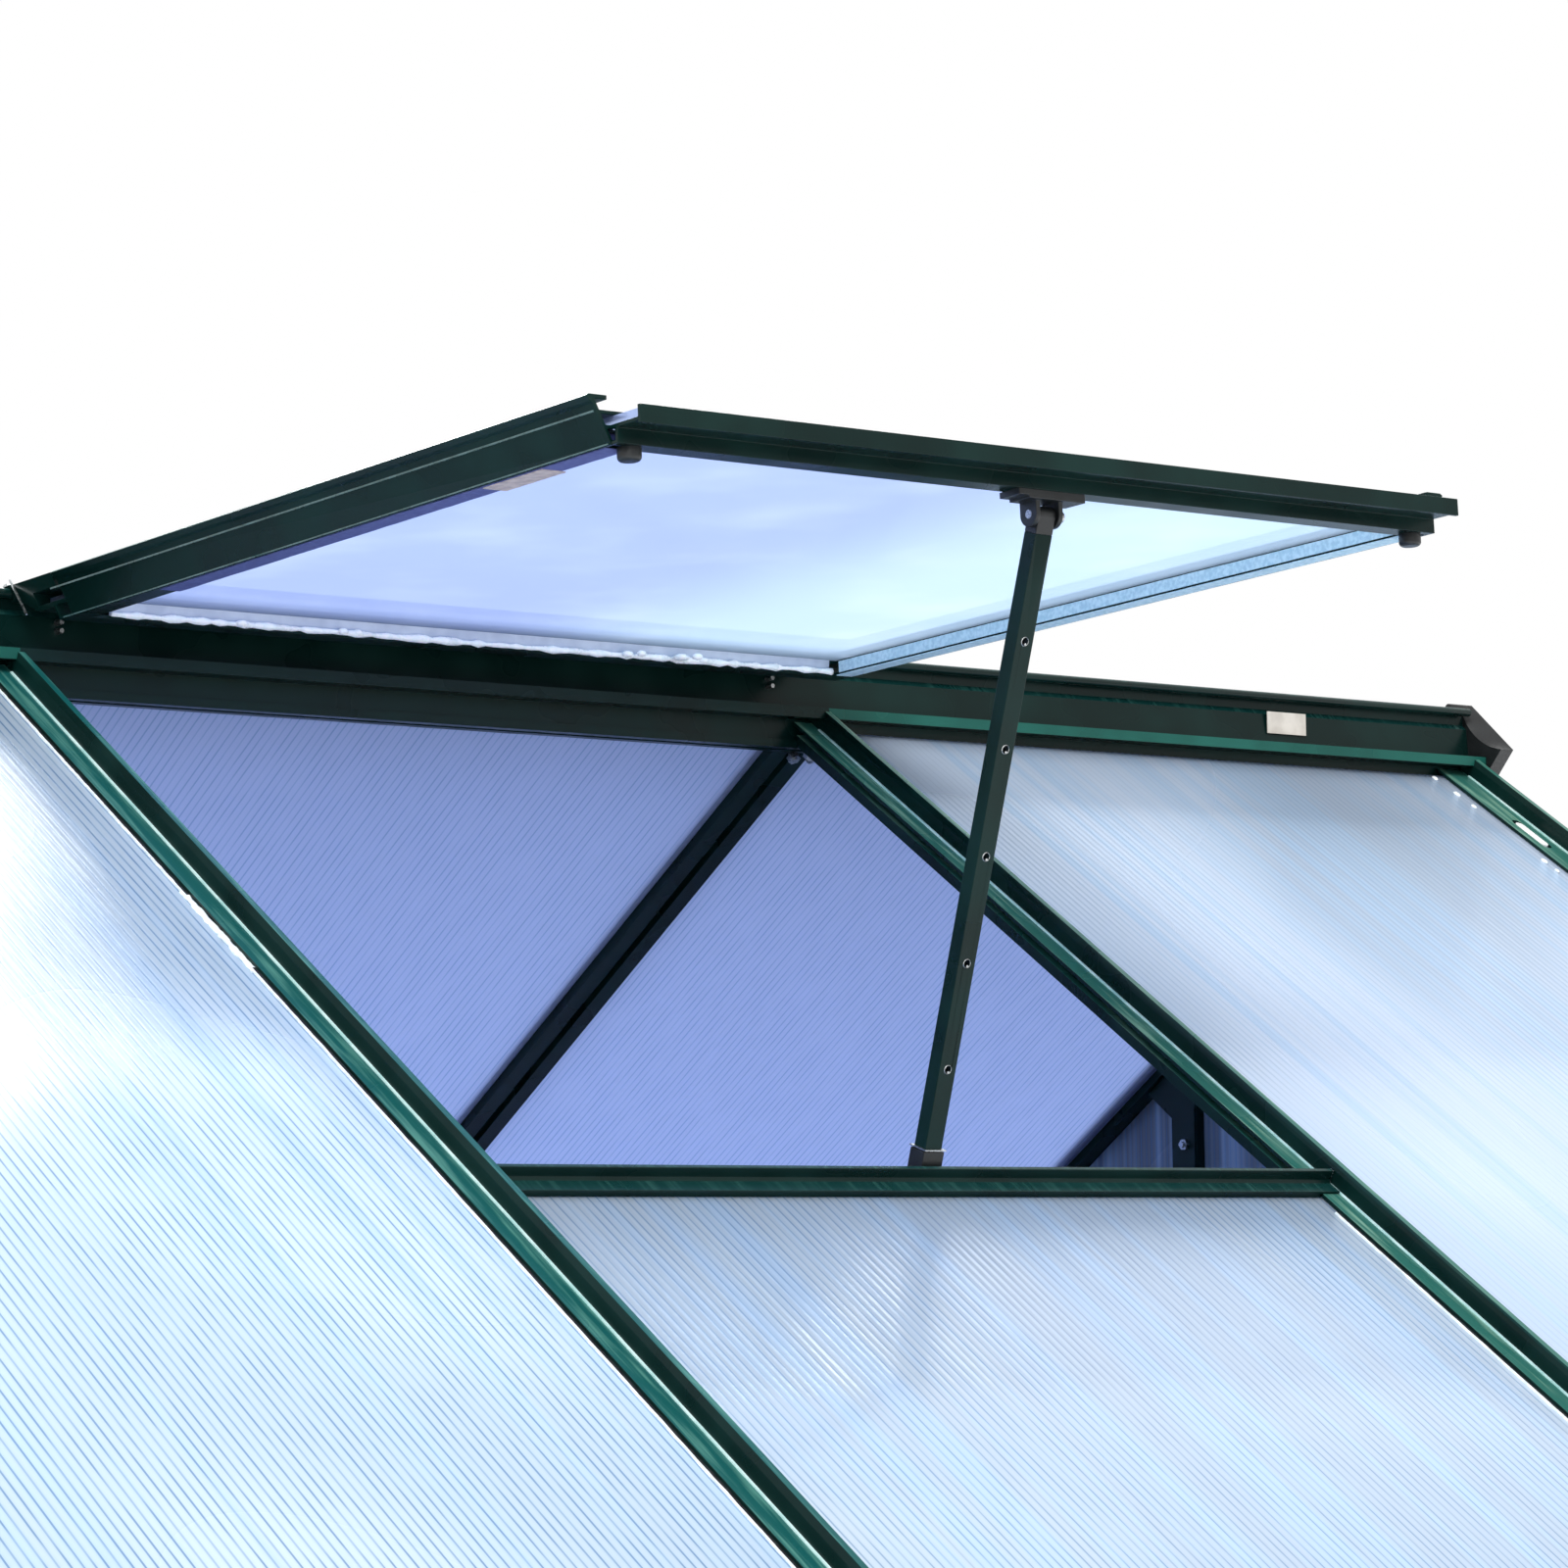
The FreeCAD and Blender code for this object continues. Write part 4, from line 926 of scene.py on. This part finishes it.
class TrimEnds(bpy.types.Operator):
    """Leave the sawn ends bare and stick on the blank plate"""

    bl_idname = "greenhouse.trim_ends"
    bl_label = "Trim the ends"

    def execute(self, context):
        finish = context.scene.greenhouse_finishes
        top_light_and_dust = (finish.coat_top_light_hex, finish.coat_dust_hex)
        # Painted light: a thin sheet in a lighter teal over the ridge lip's outer face, where the lip
        # faces the light.
        lit = powder_coat("painted_light_lip_coat", finish.lip_light_hex, "#1b5a50", *top_light_and_dust)
        bm = bmesh.new()
        for fore in (-1, 1):
            for start, end in ((-0.9395, -0.3110), (0.3110, 0.9395)):
                skin = sorted((fore * LIP_OUT * MM, fore * (LIP_OUT - 0.3) * MM))
                low = (start, skin[0] - 0.1 * MM, APEX + LIP_FOOT * MM)
                bar(bm, low, (end, skin[1] + 0.1 * MM, APEX + LIP_TOP * MM))
        piece("ridge_lip_painted_light", bm, LEVEL, lit, "roof")
        white = bpy.data.materials["white_silicone_seal"]
        bm = bmesh.new()
        for number, (x, run, size) in enumerate(SILICONE_DABS):
            spot = (x * MM, -run * MM, SHEET_TOP + 0.4 * MM)
            blob(bm, spot, (size * MM, size * 1.5 * MM, 1.2 * MM), number)
        piece("silicone_dabs", bm, NEAR, white, "roof", smooth=True)
        sawn = bare_metal("sawn_bare_aluminium", "#9aa0a3", "#dfe4e6", 0.35, 1.2 * MM, (1, 1, 8))
        # A white piece fills the slot in each end rafter's flange on the near slope.
        bm = bmesh.new()
        for hand in (-1, 1):
            middle = hand * (1.5 * BAY - 16.6 * MM)
            low = (middle - 3.7 * MM, -0.1400, FLANGE_TOP - 1.8 * MM)
            bar(bm, low, (middle + 3.7 * MM, -0.1060, FLANGE_TOP + 0.1 * MM))
        ends = [e for e in bm.edges if abs(e.verts[0].co.z - e.verts[1].co.z) > MM]
        rounded = {"offset": 3.6 * MM, "segments": 5, "profile": 0.5, "affect": "EDGES"}
        bmesh.ops.bevel(bm, geom=ends, material=-1, **rounded)
        slot_fill = moulded("white_slot_fill", "#e8eff1", "#ffffff", 0.3, 2 * MM)
        piece("near_slot_fills", bm, NEAR, slot_fill, "roof")
        for node, hand, body in (
            ("vent_hinge_rail", -1, "vent"),
            ("vent_hinge_rail", 1, "vent"),
            ("vent_sill", 1, "roof"),
            ("vent_sill", -1, "roof"),
        ):
            bm = bmesh.new()
            bm.from_mesh(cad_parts[node].data)
            bmesh.ops.remove_doubles(bm, verts=bm.verts, dist=0.01 * MM)
            low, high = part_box(node)
            end = low.x if hand < 0 else high.x
            others = [f for f in bm.faces if any(abs(v.co.x - end) > 0.05 * MM for v in f.verts)]
            bmesh.ops.delete(bm, geom=others, context="FACES")
            grown = bmesh.ops.extrude_face_region(bm, geom=list(bm.faces), use_keep_orig=True)["geom"]
            moved = [g for g in grown if isinstance(g, bmesh.types.BMVert)]
            bmesh.ops.translate(bm, vec=(hand * 0.25 * MM, 0, 0), verts=moved)
            hand_name = "left" if hand < 0 else "right"
            piece(f"{node}_{hand_name}_sawn_end", bm, LEVEL, sawn, body)
        bm = bmesh.new()
        bar(bm, (-0.6 * MM, 0, -0.5 * MM), (0.6 * MM, 30.2 * MM, 0.5 * MM))
        down = (0, -0.6486, -0.7611)
        leaning = directed((-0.3106, -0.0134, 0.7023), (1, 0, 0), down, (0, 0.7611, -0.6486))
        piece("hinge_rail_left_sawn_lip", bm, leaning, sawn, "vent")
        paper = moulded("blank_paper_label", "#b9b3ab", "#cfcac2", 0.6, 0.8 * MM)
        bm = bmesh.new()
        low = (0.7330, -0.0086 - 0.3 * MM, APEX - 6.6 * MM)
        bar(bm, low, (0.7712, -0.0080, APEX + 9.2 * MM))
        piece("blank_label", bm, LEVEL, paper, "roof")
        return {"FINISHED"}


class TrimStay(bpy.types.Operator):
    """Rim the stay's holes, with a small zinc bit at each, and line the top of its foot"""

    bl_idname = "greenhouse.trim_stay"
    bl_label = "Trim the stay"

    def execute(self, context):
        look = context.scene.greenhouse_trim
        zinc = bpy.data.materials["zinc_plated_steel"]
        bm = bmesh.new()
        facing = Matrix.Rotation(math.pi / 2, 4, "X")
        for number in range(HOLES):
            centre = Vector((0, -5.05 * MM, -(FIRST_HOLE + HOLE_PITCH * number) * MM))
            ring = bmesh.ops.create_cone(
                bm,
                cap_ends=False,
                segments=24,
                radius1=look.hole_rim,
                radius2=look.hole_rim - 0.5 * MM,
                depth=0.5 * MM,
            )["verts"]
            bmesh.ops.transform(bm, matrix=Matrix.Translation(centre) @ facing, verts=ring)
            around = list({f for v in ring for f in v.link_faces})
            bmesh.ops.solidify(bm, geom=around, thickness=0.25 * MM)
            peg(bm, centre + Vector((0.6, 0.5, -1.5)) * MM, 0.7 * MM, 1.0 * MM, 10, facing)
        piece("stay_hole_rims", bm, STAY, zinc, "stay")
        bm = bmesh.new()
        bar(bm, (-7.7 * MM, -7.3 * MM, -0.3606), (7.7 * MM, 7.3 * MM, -0.3599))
        piece("stay_foot_line", bm, STAY, zinc, "stay")
        return {"FINISHED"}


class SetStage(bpy.types.Operator):
    """Set the plain floor, the soft light and the camera"""

    bl_idname = "greenhouse.set_stage"
    bl_label = "Set the stage"

    def execute(self, context):
        look = context.scene.greenhouse_stage
        bm = bmesh.new()
        bmesh.ops.create_grid(bm, x_segments=1, y_segments=1, size=look.floor_half)
        mesh = bpy.data.meshes.new("floor")
        bm.to_mesh(mesh)
        bm.free()
        material, tree, output = blank("pale_matt_floor")
        surface = add(
            tree,
            "ShaderNodeBsdfPrincipled",
            {"Roughness": 0.9},
            {"Base Color": blended(tree, grained(tree, 0.8, 2.0), "#f1f2f4", "#f6f7f8")},
        )
        tree.links.new(surface.outputs["BSDF"], output.inputs["Surface"])
        mesh.materials.append(material)
        floor = bpy.data.objects.new("floor", mesh)
        context.scene.collection.objects.link(floor)

        world = bpy.data.worlds.new("studio")
        world.use_nodes = True
        world.node_tree.nodes["Background"].inputs["Color"].default_value = (*look.sky_colour, 1.0)
        world.node_tree.nodes["Background"].inputs["Strength"].default_value = 1.0
        context.scene.world = world

        for name, spot, target, size, power in (
            ("key", (-3.0, -3.6, 5.2), (0, -0.2, 0.5), 3.0, look.key_strength),
            ("back", (3.0, 4.6, 4.6), (0, 0.3, 0.4), 3.0, look.back_strength),
        ):
            light = bpy.data.lights.new(name, "AREA")
            light.shape = "DISK"
            light.size = size
            light.energy = power
            lamp = bpy.data.objects.new(name, light)
            lamp.location = spot
            lamp.rotation_euler = (Vector(target) - Vector(spot)).to_track_quat("-Z", "Y").to_euler()
            context.scene.collection.objects.link(lamp)

        lens = bpy.data.cameras.new("camera")
        lens.lens = look.lens
        lens.sensor_width = 36.0
        lens.clip_start = 0.05
        camera = bpy.data.objects.new("camera", lens)
        camera.matrix_world = directed(CAMERA_SPOT, CAMERA_RIGHT, CAMERA_UP, -CAMERA_AHEAD)
        context.scene.collection.objects.link(camera)
        context.scene.camera = camera
        context.scene.view_settings.view_transform = "Standard"
        return {"FINISHED"}


class GreenhousePanel(bpy.types.Panel):
    """The steps that dress the greenhouse"""

    bl_idname = "GREENHOUSE_PT_steps"
    bl_label = "Greenhouse"
    bl_space_type = "VIEW_3D"
    bl_region_type = "UI"
    bl_category = "Greenhouse"

    def draw(self, context):
        for step in STEPS:
            self.layout.operator(step.bl_idname)


STEPS = (CoatFrame, LaySheets, FitSeals, PaintFinHighlights, DriveFixings, TrimVent, TrimStay, TrimEnds, SetStage)
LOOKS = (
    ("greenhouse_sheets", SheetLook),
    ("greenhouse_finishes", FinishLook),
    ("greenhouse_trim", TrimLook),
    ("greenhouse_stage", StageLook),
)


def register():
    for name, look in LOOKS:
        bpy.utils.register_class(look)
        setattr(bpy.types.Scene, name, PointerProperty(type=look))
    for kind in (*STEPS, GreenhousePanel):
        bpy.utils.register_class(kind)


def unregister():
    for kind in (GreenhousePanel, *reversed(STEPS)):
        bpy.utils.unregister_class(kind)
    for name, look in reversed(LOOKS):
        delattr(bpy.types.Scene, name)
        bpy.utils.unregister_class(look)


def main():
    register()
    for step in STEPS:
        getattr(bpy.ops.greenhouse, step.bl_idname.split(".")[1])()


if __name__ == "__main__":
    main()
